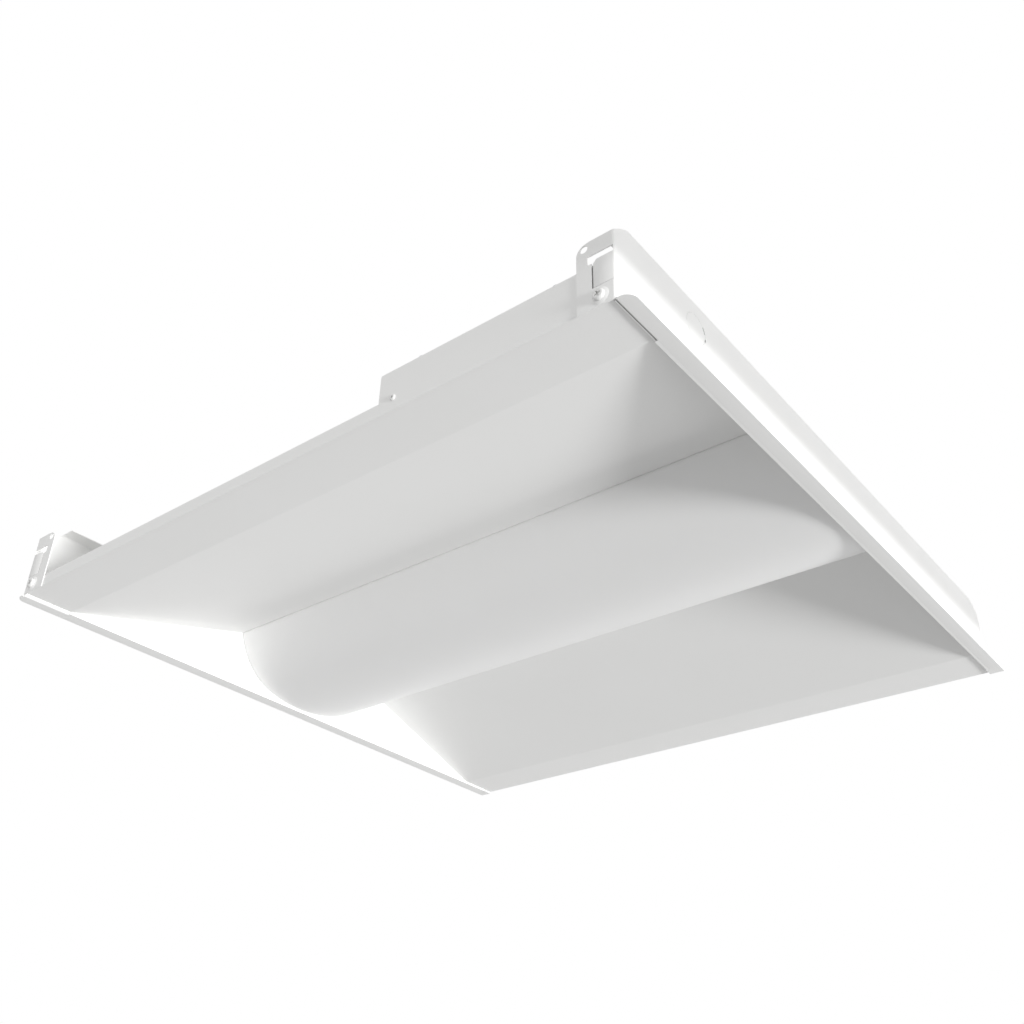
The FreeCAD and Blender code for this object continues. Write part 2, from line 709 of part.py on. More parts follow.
def far_end_plate(near):
    """The far end plate is the mirror image of the near one."""
    plate = doc.addObject("Part::Mirroring", "end_plate_far")
    plate.Source = near
    plate.Normal = FreeCAD.Vector(0, 1, 0)
    return name_subpart("end_plate_far", plate)


# ---------------------------------------------------------------- grid clips


def grid_clip(label, end, side):
    """The tab that bends out of a flap over the ceiling grid."""
    body = new_body(label)
    outer = -d.half_width if side < 0 else right_fold - d.sheet_gauge
    outer_y = clip_outer * end
    inner_y = (clip_outer - d.clip_width) * end
    corner_y = (clip_outer - d.clip_width + d.clip_corner) * end
    points = [(outer_y, d.clip_foot), (inner_y, d.clip_foot), (inner_y, d.clip_top - d.clip_corner)]
    points += [(corner_y, d.clip_top), (outer_y, d.clip_top)]
    slab(body, f"{label}_sheet", "X", outer, outer + d.sheet_gauge, points)


# ---------------------------------------------------------------- side reflectors


def wall_section(outer, top):
    """A side wall with its rolled top and lip, standing at a distance from the middle."""
    inside = outer - d.sheet_gauge
    roll_edge = outer - d.wall_roll
    lip_edge = roll_edge - d.wall_lip
    return [
        (inside, d.band_level),
        (outer, d.band_level),
        (outer, top - d.wall_roll),
        (roll_edge, top),
        (lip_edge, top),
        (lip_edge, top - d.sheet_gauge),
        (roll_edge, top - d.sheet_gauge),
        (inside, top - d.wall_roll),
    ]


def add_wall(body, name, side, outer, top, low_y, high_y):
    points = [(x * side, z) for x, z in wall_section(outer, top)]
    arcs = {2: (d.wall_roll, side), 6: (d.wall_roll - d.sheet_gauge, -side)}
    slab(body, name, "Y", low_y, high_y, points, arcs)


def trim_to_end_reflectors(body, gap, low, high):
    """Cut both ends of a long piece parallel to the end reflectors, with a gap."""
    reach = d.half_width + MARGIN
    for end, name in ((-1, "near"), (1, "far")):
        points = [((end_face(low) - gap) * end, low), (reach * end, low)]
        points += [(reach * end, high), ((end_face(high) - gap) * end, high)]
        cut(body, f"{name}_end_cut", "X", -reach, reach, points)


def side_reflector(label, side):
    """Flat band, sloping panel and upright lip from one sheet, with the side wall."""
    body = new_body(label)
    outer = left_wall if side < 0 else d.half_width
    fold_top = band_inner + (panel_rise - d.sheet_gauge) / panel_slope
    lip_face = d.cusp_x + d.sheet_gauge
    section = [
        (outer, d.band_level),
        (outer, d.band_level + d.sheet_gauge),
        (fold_top, d.band_level + d.sheet_gauge),
        (lip_face, panel_top(lip_face)),
        (lip_face, upstand_top),
        (d.cusp_x, upstand_top),
        (d.cusp_x, cusp_level),
        (band_inner, d.band_level),
    ]
    points = [(x * side, z) for x, z in section]
    slab(body, "reflector_sheet", "Y", -end_foot, end_foot, points)
    trim_to_end_reflectors(body, d.edge_gap, size(0), d.plate_height)
    wall_end = plate_inside - d.edge_gap
    hole = d.corner_shank + d.hole_play
    drill = (band_inner, d.half_width + MARGIN)
    corner_y = plate_face - d.corner_screw_inset
    corners = [(-corner_y, d.corner_screw_level), (corner_y, d.corner_screw_level)]
    if side < 0:
        add_wall(body, "low_wall", side, left_wall, d.wall_low, -box_start, wall_end)
        add_wall(body, "high_wall", side, left_wall, d.wall_high, -wall_end, -box_start)
        cut_holes(body, "corner_holes", "X", -drill[1], -drill[0], corners, hole)
        end_screw = [(-box_end_screw_y, d.box_end_screw_level)]
        cut_holes(body, "box_end_hole", "X", -drill[1], -drill[0], end_screw, small_hole)
        lid_holes = [(-lid_screw_x, y) for y in lid_screw_places()]
        under, above = d.wall_high - MARGIN, d.wall_high + MARGIN
        cut_holes(body, "lid_holes", "Z", under, above, lid_holes, small_hole)
        leads = [(-lead_turn_y, lead_channel_level)]
        cut_holes(body, "lead_hole", "X", *leg_drill(-1), leads, d.lead_hole_radius)
    else:
        add_wall(body, "side_wall", side, right_wall, d.wall_low, -wall_end, wall_end)
        cut_holes(body, "corner_holes", "X", *drill, corners, hole)
    leg_holes = [(y, leg_screw_level) for y in leg_screw_places()]
    cut_holes(body, "leg_holes", "X", *leg_drill(side), leg_holes, small_hole)


def leg_drill(side):
    """Range along X of a drill through the channel's leg and the panel's upright lip."""
    low, high = d.cusp_x - MARGIN, channel_half + MARGIN
    return (low, high) if side > 0 else (-high, -low)


def leg_screw_places():
    return [(plate_face - d.leg_screw_inset) * turn for turn in (-1, 0, 1)]


def lid_screw_places():
    """The lid's two screws, a short way in from its ends."""
    return [-box_start - d.lid_screw_end, -plate_face + d.lip_width + d.lid_screw_end]


# ---------------------------------------------------------------- end reflectors


def end_reflector(label, end):
    """Steep sheet that closes the lit recess at one end, with a top flange under the channel."""
    body = new_body(label)
    section = [
        (end_face(d.sheet_gauge), d.sheet_gauge),
        (end_face(channel_under), channel_under),
        (lap_edge, channel_under),
        (lap_edge, flange_under),
        (end_face(flange_under) + lean_width, flange_under),
        (end_face(d.sheet_gauge) + lean_width, d.sheet_gauge),
    ]
    points = [(y * end, z) for y, z in section]
    left = left_wall - d.sheet_gauge - d.edge_gap
    right = right_wall - d.sheet_gauge - d.edge_gap
    slab(body, "reflector_sheet", "X", -left, right, points)
    shoulder = channel_half + d.end_shoulder
    above = d.plate_height + MARGIN
    reach = d.half_width + MARGIN
    inner = end_face(above) - MARGIN
    low_y, high_y = (-reach, -inner) if end < 0 else (inner, reach)
    for side, name in ((-1, "left"), (1, "right")):
        trim = [
            (reach * side, d.band_level + d.end_margin),
            (band_inner * side, d.band_level + d.end_margin),
            (shoulder * side, panel_top(shoulder) + d.end_margin),
            (shoulder * side, above),
            (reach * side, above),
        ]
        cut(body, f"{name}_trim", "Y", low_y, high_y, trim)
    lap_y = (plate_face - d.lap_screw_inset) * end
    lap = [(-d.lap_screw_x, lap_y), (d.lap_screw_x, lap_y)]
    cut_holes(body, "lap_holes", "Z", flange_under - MARGIN, d.plate_height, lap, small_hole)


# ---------------------------------------------------------------- light channel and lens


def light_channel():
    """Inverted channel that joins the side reflectors and carries the light boards."""
    body = new_body("light_channel")
    top = rectangle(-channel_half, channel_half, -lap_edge, lap_edge)
    slab(body, "channel_top", "Z", channel_under, lip_under, top)
    leg_end = end_face(d.plate_height) - d.edge_gap
    leg_foot = lip_under - d.channel_leg
    for side, name in ((-1, "left"), (1, "right")):
        leg = rectangle(channel_half * side, (channel_half - d.sheet_gauge) * side, leg_foot, lip_under)
        slab(body, f"{name}_leg", "Y", -leg_end, leg_end, leg)
    lap_y = plate_face - d.lap_screw_inset
    lap = [(d.lap_screw_x * side, lap_y * end) for side in (-1, 1) for end in (-1, 1)]
    cut_holes(body, "lap_holes", "Z", flange_under, d.plate_height, lap, small_hole)
    legs = [(y, leg_screw_level) for y in leg_screw_places()]
    for side, name in ((-1, "left"), (1, "right")):
        cut_holes(body, f"{name}_leg_holes", "X", *leg_drill(side), legs, small_hole)
    leads = [(-lead_turn_y, lead_channel_level)]
    cut_holes(body, "lead_hole", "X", -channel_half - 1, -d.cusp_x + 1, leads, d.lead_hole_radius)
    cut_holes(body, "board_holes", "Z", flange_under, d.plate_height, board_screw_places(), small_hole)


def centre_lens():
    """Frosted basket lens: a flat crown, two rounder flanks and two upright edges."""
    body = new_body("centre_lens")
    edge = d.cusp_x - d.lens_side_gap
    edge_level = cusp_level - d.lens_edge_drop
    lip_top = channel_under - d.lens_lip_gap
    tilt = d.lens_crown_x / d.lens_crown_radius
    upright = root(1 - tilt * tilt)
    crown_z = d.lens_bottom + d.lens_crown_radius * (1 - upright)
    run = edge - d.lens_crown_x
    rise = edge_level - crown_z
    flank = (run * run + rise * rise) / (2 * (rise * upright - run * tilt))
    flank_x = d.lens_crown_x - flank * tilt
    flank_z = crown_z + flank * upright
    inner_edge = edge - d.lens_gauge
    inner_flank = flank - d.lens_gauge
    inner_run = inner_edge - flank_x
    inner_z = flank_z - root(inner_flank * inner_flank - inner_run * inner_run)
    crown_inner_x = d.lens_crown_x - d.lens_gauge * tilt
    crown_inner_z = crown_z + d.lens_gauge * upright
    points = [
        (-edge, lip_top),
        (-edge, edge_level),
        (-d.lens_crown_x, crown_z),
        (d.lens_crown_x, crown_z),
        (edge, edge_level),
        (edge, lip_top),
        (inner_edge, lip_top),
        (inner_edge, inner_z),
        (crown_inner_x, crown_inner_z),
        (-crown_inner_x, crown_inner_z),
        (-inner_edge, inner_z),
        (-inner_edge, lip_top),
    ]
    arcs = {
        1: (flank, 1),
        2: (d.lens_crown_radius, 1),
        3: (flank, 1),
        7: (inner_flank, -1),
        8: (d.lens_crown_radius - d.lens_gauge, -1),
        9: (inner_flank, -1),
    }
    slab(body, "lens_sheet", "Y", -end_foot, end_foot, points, arcs)
    trim_to_end_reflectors(body, d.lens_end_gap, size(0), d.plate_height)


def lens_springs():
    """Leaf springs under the channel that grip the lens's upright edges."""
    leaf_face = d.cusp_x - d.lens_side_gap + d.edge_gap
    leaf_back = leaf_face + d.clip_leaf
    springs = []
    for side in (-1, 1):
        for end in (-1, 1):
            middle = (plate_face - d.clip_leaf_inset) * end
            along = (middle - d.clip_leaf_width * 0.5, middle + d.clip_leaf_width * 0.5)
            foot_x = (leaf_back - d.clip_leaf_foot, leaf_back)
            foot_z = (channel_under - d.clip_leaf, channel_under)
            foot = box_across("spring_foot", side, foot_x, along, foot_z)
            leg_x = (leaf_face, leaf_back)
            leg_z = (channel_under - d.clip_leaf_reach, channel_under)
            leg = box_across("spring_leg", side, leg_x, along, leg_z)
            springs.append(fuse("lens_spring", [foot, leg]))
    group("lens_springs", springs)


def box_across(name, side, across, along, up):
    """A box given by its distance range from the middle plane, on one side of it."""
    low, high = across if side > 0 else (-across[1], -across[0])
    return box(name, (low, along[0], up[0]), (high, along[1], up[1]))


# ---------------------------------------------------------------- light boards


def board_screw_places():
    """Screw centres of both light boards."""
    places = []
    for side in (-1, 1):
        for turn in (-1, 0, 1):
            y = (board_half_length - d.board_screw_inset) * turn
            places.append((d.board_x * side + d.board_screw_x, y))
    return places


def light_board(label, side):
    body = new_body(label)
    middle = d.board_x * side
    half = d.board_width * 0.5
    outline = rectangle(middle - half, middle + half, -board_half_length, board_half_length)
    slab(body, "board_sheet", "Z", board_under, channel_under, outline)
    holes = [place for place in board_screw_places() if place[0].number * side > 0]
    low, high = board_under - MARGIN, channel_under + MARGIN
    cut_holes(body, "board_holes", "Z", low, high, holes, small_hole)


def emitters(label, side):
    """As many emitters as the board has room for, along its middle line."""
    chips = []
    room = 2 * (board_half_length - d.emitter_margin)
    steps = int(room.number / d.emitter_pitch.number)
    half_x, half_y = d.emitter_width * 0.5, d.emitter_length * 0.5
    x = d.board_x * side
    for index in range(steps + 1):
        y = d.emitter_pitch * (index - steps / 2)
        low = (x - half_x, y - half_y, board_under - d.emitter_height)
        high = (x + half_x, y + half_y, board_under)
        chips.append(box("emitter", low, high))
    group(label, chips)


def board_connectors():
    """One push-in connector on each board, where its leads end."""
    joiners = []
    half_x, half_y = d.joiner_width * 0.5, d.joiner_length * 0.5
    for side in (-1, 1):
        x = joiner_x(side)
        low = (x - half_x, -lead_turn_y - half_y, board_under - d.joiner_height)
        high = (x + half_x, -lead_turn_y + half_y, board_under)
        joiners.append(box("board_connector", low, high))
    group("board_connectors", joiners)


def joiner_x(side):
    """Middle of a board connector, on the outer half of its board."""
    return (d.board_x + d.board_width * 0.25) * side


# ---------------------------------------------------------------- wiring box


def lid_section():
    """Outer foot, slope, top, inner wall and inner foot of the wiring box, in the XZ plane."""
    gauge = d.sheet_gauge
    side_foot = left_wall - d.wall_roll
    slope = (lid_level - gauge - d.wall_high) / (lid_foot_x - lid_rise_x)
    slope_rise = gauge * root(1 + slope * slope)
    foot_top_x = lid_foot_x + (slope_rise - gauge) / slope
    rise_top_x = lid_rise_x + (slope_rise - gauge) / slope
    tread = lid_inner_x - d.lid_tread
    inner = lid_inner_x
    lift = d.edge_gap
    section = [
        (side_foot, d.wall_high),
        (lid_foot_x, d.wall_high),
        (lid_rise_x, lid_level - gauge),
        (inner + gauge, lid_level - gauge),
        (inner + gauge, panel_top(inner + gauge) + lift),
        (tread, panel_top(tread) + lift),
        (tread, panel_top(tread) + panel_rise + lift),
        (inner, panel_top(inner) + panel_rise + lift),
        (inner, lid_level),
        (rise_top_x, lid_level),
        (foot_top_x, d.wall_high + gauge),
        (side_foot, d.wall_high + gauge),
    ]
    return [(-x, z) for x, z in section]


def wiring_lid():
    """Lift-off lid of the wiring box, with the supply entry in its top."""
    body = new_body("wiring_lid")
    near = -plate_face + d.lip_width + d.edge_gap
    slab(body, "lid_sheet", "Y", near, -box_start, lid_section())
    holes = [(-lid_screw_x, y) for y in lid_screw_places()]
    under, above = d.wall_high - MARGIN, d.wall_high + d.sheet_gauge + MARGIN
    cut_holes(body, "lid_holes", "Z", under, above, holes, small_hole)
    entry = [(-entry_x, -entry_y)]
    under, above = lid_level - d.sheet_gauge - MARGIN, lid_level + MARGIN
    cut_holes(body, "entry_hole", "Z", under, above, entry, d.entry_radius)


def wiring_header():
    """Fixed strip that carries the lid's shape on to the near end plate, under its lip."""
    body = new_body("wiring_header")
    far = -plate_face + d.lip_width + d.edge_gap - d.header_gap
    near = -plate_inside + d.edge_gap
    slab(body, "header_sheet", "Y", near, far, lid_section())
    tread = lid_inner_x - d.lid_tread - MARGIN
    notch_top = panel_top(tread) + d.end_margin + MARGIN
    notch = rectangle(-lid_inner_x - d.sheet_gauge - MARGIN, -tread, d.band_level, notch_top)
    cut(body, "reflector_notch", "Y", near - MARGIN, far + MARGIN, notch)


def wiring_end():
    """Upright sheet that closes the wiring box, with a side tab and a hole for the board leads."""
    body = new_body("wiring_end")
    near = -box_end_face - d.sheet_fit
    play = d.edge_gap
    wall = left_wall - d.sheet_gauge
    low_z = d.band_level + d.sheet_gauge + play
    inner = lid_inner_x + d.sheet_gauge + play
    section = [
        (wall, low_z),
        (band_inner, low_z),
        (inner, panel_top(inner) + play),
        (inner, lid_level - d.sheet_gauge - play),
        (lid_rise_x, lid_level - d.sheet_gauge - play),
        (left_wall - d.wall_roll - d.wall_lip - play, d.wall_high - play),
        (left_wall - d.wall_roll - d.wall_lip - play, d.wall_high - d.wall_roll),
        (wall, d.wall_high - d.wall_roll),
    ]
    points = [(-x, z) for x, z in section]
    slab(body, "end_sheet", "Y", near - d.sheet_gauge, near, points)
    tab = rectangle(near - d.box_end_tab, near, low_z, d.wall_low)
    slab(body, "side_tab", "X", -wall, -wall + d.sheet_gauge, tab)
    place = [(-box_end_screw_y, d.box_end_screw_level)]
    cut_holes(body, "tab_hole", "X", -wall - MARGIN, -wall + d.sheet_gauge + MARGIN, place, small_hole)
    inside, outside = near - d.sheet_gauge - MARGIN, near + MARGIN
    leads = [(-lead_hole_x, lead_level)]
    cut_holes(body, "lead_hole", "Y", inside, outside, leads, d.lead_hole_radius)


def supply_bushing():
    """Plastic bushing in the supply entry, its rim on top of the wiring box."""
    x, y, top = -entry_x, -entry_y, lid_level + d.bushing_rim_width
    barrel_radius = d.entry_radius - d.bushing_play
    barrel = cylinder("bushing_barrel", (x, y, top), "-Z", barrel_radius, d.bushing_length)
    rim = cylinder("bushing_rim", (x, y, top), "-Z", d.bushing_rim, d.bushing_rim_width)
    bore_length = d.bushing_length + 2 * MARGIN
    bore = cylinder("bushing_bore", (x, y, top + MARGIN), "-Z", d.bushing_bore, bore_length)
    blank = fuse("bushing_blank", [barrel, rim])
    name_subpart("supply_bushing", subtract("supply_bushing", blank, bore))


def driver_tray():
    """Level tray on a leg and foot, so that the driver doesn't stand on the sloping panel."""
    body = new_body("driver_tray")
    gauge = d.sheet_gauge
    foot_z = d.band_level + gauge
    section = [
        (tray_outer_x - d.tray_foot, foot_z),
        (tray_outer_x, foot_z),
        (tray_outer_x, tray_level),
        (tray_inner_x, tray_level),
        (tray_inner_x, panel_top(tray_inner_x) + d.edge_gap),
        (tray_inner_x + gauge, panel_top(tray_inner_x) + d.edge_gap),
        (tray_inner_x + gauge, tray_level - gauge),
        (tray_outer_x - gauge, tray_level - gauge),
        (tray_outer_x - gauge, foot_z + gauge),
        (tray_outer_x - d.tray_foot, foot_z + gauge),
    ]
    points = [(-x, z) for x, z in section]
    slab(body, "tray_sheet", "Y", -tray_near_y, -tray_far_y, points)
    holes = [(-driver_x, y) for y in driver_screw_places()]
    holes.append((-earth_x, -earth_y))
    low, high = tray_level - gauge - MARGIN, tray_level + MARGIN
    cut_holes(body, "tray_holes", "Z", low, high, holes, small_hole)


def driver_screw_places():
    """Screws through the middle of the driver's two ears."""
    reach = (d.driver_length + d.driver_ear) * 0.5
    return [-driver_y - reach, -driver_y + reach]


def driver_bounds():
    """Corners of the driver's case, without its ears."""
    half_x, half_y = d.driver_width * 0.5, d.driver_length * 0.5
    low = (-driver_x - half_x, -driver_y - half_y, tray_level)
    high = (-driver_x + half_x, -driver_y + half_y, tray_level + d.driver_height)
    return low, high


def driver_case():
    """Folded case with ears; its lid closes it, and the terminals show through its ends."""
    body = new_body("driver_case")
    low, high = driver_bounds()
    wall = d.driver_wall
    top = high[2] - wall
    slab(body, "case_block", "Z", low[2], top, rectangle(low[0], high[0], low[1], high[1]))
    inside = rectangle(low[0] + wall, high[0] - wall, low[1] + wall, high[1] - wall)
    cut(body, "case_hollow", "Z", low[2] + wall, top + MARGIN, inside)
    ear = d.driver_ear
    ears = rectangle(low[0] + ear, high[0] - ear, low[1] - ear, high[1] + ear)
    slab(body, "case_ears", "Z", low[2], low[2] + wall, ears)
    holes = [(-driver_x, y) for y in driver_screw_places()]
    cut_holes(body, "ear_holes", "Z", low[2] - MARGIN, low[2] + wall + MARGIN, holes, small_hole)
    half = d.terminal_width * 0.5 + d.circuit_gap
    sill = low[2] + wall + d.circuit_lift
    head = sill + d.circuit_gauge + d.terminal_height + d.circuit_gap
    window = rectangle(-driver_x - half, -driver_x + half, sill, head)
    cut(body, "terminal_windows", "Y", low[1] - MARGIN, high[1] + MARGIN, window)


def driver_lid():
    body = new_body("driver_lid")
    low, high = driver_bounds()
    outline = rectangle(low[0], high[0], low[1], high[1])
    slab(body, "lid_plate", "Z", high[2] - d.driver_wall, high[2], outline)


# The capacitors, off the driver's middle, as shares of its width and length.
CAPACITOR_PLACES = ((-0.25, -0.25), (0.1, -0.28), (0.25, 0.22), (-0.2, 0.26))


def driver_inside():
    """Circuit board on its spacers, with the transformer, the capacitors and the terminals."""
    low, high = driver_bounds()
    inset = d.driver_wall + d.circuit_gap
    floor = low[2] + d.driver_wall
    board_low = floor + d.circuit_lift
    top = board_low + d.circuit_gauge
    board_start = (low[0] + inset, low[1] + inset, board_low)
    board_end = (high[0] - inset, high[1] - inset, top)
    board = box("circuit", board_start, board_end)
    spacers = []
    for x in (low[0] + d.spacer_inset, high[0] - d.spacer_inset):
        for y in (low[1] + d.spacer_inset, high[1] - d.spacer_inset):
            spacers.append(cylinder("spacer", (x, y, floor), "+Z", d.screw_radius, d.circuit_lift))
    name_subpart("driver_circuit", fuse("driver_circuit", [board] + spacers))
    x, y = -driver_x, -driver_y
    half = d.winding_size * 0.5
    core = box("winding_core", (x - half, y - half, top), (x + half, y + half, top + d.winding_height))
    name_subpart("driver_transformer", core)
    cans = []
    for across, along in CAPACITOR_PLACES:
        place = (x + d.driver_width * across, y + d.driver_length * along, top)
        cans.append(cylinder("capacitor", place, "+Z", d.can_radius, d.can_height))
    group("driver_capacitors", cans)
    blocks = []
    half = d.terminal_width * 0.5
    reach = d.driver_length * 0.5 + d.terminal_reach
    for start in (y - reach, y + reach - d.terminal_length):
        block_low = (x - half, start, top)
        block_high = (x + half, start + d.terminal_length, top + d.terminal_height)
        blocks.append(box("terminal", block_low, block_high))
    group("driver_terminals", blocks)


def terminal_middle():
    """Height of the middle of the driver's terminals."""
    board_top = tray_level + d.driver_wall + d.circuit_lift + d.circuit_gauge
    return board_top + d.terminal_height * 0.5


def supply_disconnect():
    """Two-part connector on the tray: the plug's nose fits the socket and pulls out along +Y."""
    half = d.plug_width * 0.5
    x = -plug_x
    foot, top = tray_level, tray_level + d.plug_height
    meet = -plug_meet_y
    nose_half = half - d.plug_nose_wall - d.plug_nose_play
    nose_under = foot + d.plug_nose_wall + d.plug_nose_play
    nose_top = top - d.plug_nose_wall - d.plug_nose_play
    shell = box("socket_shell", (x - half, meet - d.plug_length, foot), (x + half, meet, top))
    hollow_half = half - d.plug_nose_wall
    hollow_low = (x - hollow_half, meet - d.plug_nose - d.plug_nose_play, foot + d.plug_nose_wall)
    hollow_high = (x + hollow_half, meet + MARGIN, top - d.plug_nose_wall)
    hollow = box("socket_hollow", hollow_low, hollow_high)
    name_subpart("disconnect_socket", subtract("disconnect_socket", shell, hollow))
    start = meet + d.plug_nose_play
    grip_low = (x - half, start, foot + d.plug_nose_play)
    grip = box("plug_grip", grip_low, (x + half, start + d.plug_length, top))
    nose_low = (x - nose_half, meet - d.plug_nose, nose_under)
    nose = box("plug_nose", nose_low, (x + nose_half, start + MARGIN, nose_top))
    name_subpart("disconnect_plug", fuse("disconnect_plug", [grip, nose]))


# ---------------------------------------------------------------- leads


def board_leads():
    """Two leads from the driver to the light boards, through the box's end and the channel's leg."""
    pairs = []
    exit_y = -driver_y + d.driver_length * 0.5 + d.terminal_reach
    for index in (-0.5, 0.5):
        shift = d.lead_pitch * index
        x = -lead_hole_x + shift
        out_x = -driver_x + d.terminal_exit + shift
        low = terminal_middle()
        turn_y = -lead_turn_y - shift
        end_x = joiner_x(-1) - d.joiner_width * 0.5
        route = [
            (out_x, exit_y, low),
            (out_x, exit_y + d.lead_run, low),
            (x, -box_end_face - d.lead_run, lead_level),
            (x, turn_y, lead_level),
            (-d.cusp_x - d.lead_climb_gap, turn_y, lead_channel_level),
            (end_x, turn_y, lead_channel_level),
        ]
        pairs.append(tube_along("board_lead", route, d.lead_radius, d.lead_bend))
    group("board_leads", pairs)


def board_jumpers():
    """Two short leads across the channel, from the first light board's connector to the second's."""
    start = joiner_x(-1) + d.joiner_width * 0.5
    length = joiner_x(1) - d.joiner_width * 0.5 - start
    jumpers = []
    for index in (-0.5, 0.5):
        place = (start, -lead_turn_y + d.lead_pitch * index, lead_channel_level)
        jumpers.append(cylinder("board_jumper", place, "+X", d.lead_radius, length))
    group("board_jumpers", jumpers)


def supply_leads():
    """Two short leads from the driver's input to the supply disconnect."""
    pairs = []
    input_y = -driver_y - d.driver_length * 0.5 - d.terminal_reach
    for index in (-0.5, 0.5):
        shift = d.lead_pitch * index
        start_x = -driver_x - d.terminal_exit + shift
        end_x = -plug_x + shift
        level = tray_level + d.plug_height * 0.5
        end_y = -plug_meet_y - d.plug_length
        low = terminal_middle()
        back = input_y - d.lead_run + shift
        route = [
            (start_x, input_y, low),
            (start_x, back, low),
            (end_x, back, level),
            (end_x, end_y, level),
        ]
        pairs.append(tube_along("supply_lead", route, d.lead_radius, d.supply_lead_bend))
    group("supply_leads", pairs)


# ---------------------------------------------------------------- fasteners


def corner_screws():
    """Screws that hold the end plates' flaps to the side walls."""
    screws = []
    for end in (-1, 1):
        y = (plate_face - d.corner_screw_inset) * end
        for side, fold in ((-1, d.half_width), (1, right_fold)):
            seat = ((fold + d.boss_rise) * side, y, d.corner_screw_level)
            outwards = "-X" if side < 0 else "+X"
            shape = (d.corner_head, d.corner_head_rise, d.corner_shank, d.corner_length)
            screws.append(screw("corner_screw", seat, outwards, *shape))
    group("corner_screws", screws)


def lap_screws():
    """Screws through the end plate's lip, the channel and the end reflector's flange."""
    screws = []
    for end in (-1, 1):
        for side in (-1, 1):
            seat = (d.lap_screw_x * side, (plate_face - d.lap_screw_inset) * end, flange_under)
            screws.append(small_screw("lap_screw", seat, "-Z", d.plate_height - flange_under))
    group("lap_screws", screws)


def leg_screws():
    """Screws through the channel's legs and the side reflectors' upright lips."""
    screws = []
    for side, outwards in ((-1, "-X"), (1, "+X")):
        for y in leg_screw_places():
            seat = (channel_half * side, y, leg_screw_level)
            screws.append(small_screw("leg_screw", seat, outwards, 2 * d.sheet_gauge))
    group("leg_screws", screws)


def board_screws():
    screws = []
    for x, y in board_screw_places():
        seat = (x, y, board_under)
        screws.append(small_screw("board_screw", seat, "-Z", d.board_gauge + d.sheet_gauge))
    group("board_screws", screws)


def lid_screws():
    screws = []
    for y in lid_screw_places():
        seat = (-lid_screw_x, y, d.wall_high + d.sheet_gauge)
        screws.append(small_screw("lid_screw", seat, "+Z", d.screw_length))
    group("lid_screws", screws)


def driver_screws():
    screws = []
    for y in driver_screw_places():
        seat = (-driver_x, y, tray_level + d.driver_wall)
        screws.append(small_screw("driver_screw", seat, "+Z", d.screw_length))
    group("driver_screws", screws)


def single_screws():
    """The screw of the wiring box's end, and the earth screw on the driver tray."""
    seat = (-left_wall, -box_end_screw_y, d.box_end_screw_level)
    head = (d.box_end_screw_head, d.box_end_screw_rise)
    thing = screw("wiring_end_screw", seat, "-X", *head, d.screw_radius, d.screw_length)
    name_subpart("wiring_end_screw", thing)
    seat = (-earth_x, -earth_y, tray_level)
    name_subpart("earth_screw", small_screw("earth_screw", seat, "+Z", d.screw_length))


# ---------------------------------------------------------------- the whole light


def build_light():
    far_end_plate(near_end_plate())
    for end, end_name in ((-1, "near"), (1, "far")):
        for side, side_name in ((-1, "left"), (1, "right")):
            grid_clip(f"grid_clip_{end_name}_{side_name}", end, side)
        end_reflector(f"end_reflector_{end_name}", end)
    for side, name in ((-1, "left"), (1, "right")):
        side_reflector(f"side_reflector_{name}", side)
        light_board(f"light_board_{name}", side)
        emitters(f"emitters_{name}", side)
    light_channel()
    centre_lens()
    lens_springs()
    board_connectors()
    wiring_lid()
    wiring_header()
    wiring_end()
    supply_bushing()
    driver_tray()
    driver_case()
    driver_lid()
    driver_inside()
    supply_disconnect()
    board_leads()
    board_jumpers()
    supply_leads()
    corner_screws()
    lap_screws()
    leg_screws()
    board_screws()
    lid_screws()
    driver_screws()
    single_screws()


def check_and_write():
    """Recompute, look at every object, and write one file for each sub-part."""
    doc.recompute()
    faults = [item.Name for item in doc.Objects if {"Invalid", "Error"} & set(item.State)]
    for label, thing in SUBPARTS.items():
        shape = thing.Shape
        if shape.isNull() or not shape.isValid() or not shape.Solids:
            faults.append(label)
    if faults:
        raise RuntimeError("these didn't build: " + ", ".join(faults))
    os.makedirs("parts", exist_ok=True)
    for label, thing in SUBPARTS.items():
        thing.Shape.exportStep(f"parts/{label}.step")
    print(len(SUBPARTS), "sub-parts written")


build_light()
check_and_write()
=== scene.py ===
# %% [markdown]
# A recessed troffer light, seen from below as it lies in a ceiling grid. Its body is white painted
# sheet steel, folded: two end plates, two side reflectors with a sloping panel each, and two steep
# end reflectors. A frosted basket lens hangs in the middle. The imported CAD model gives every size
# and place. The finish, the soft folds and the small parts are made here.

import json
import math

import bmesh
import bpy
from mathutils import Matrix, Vector


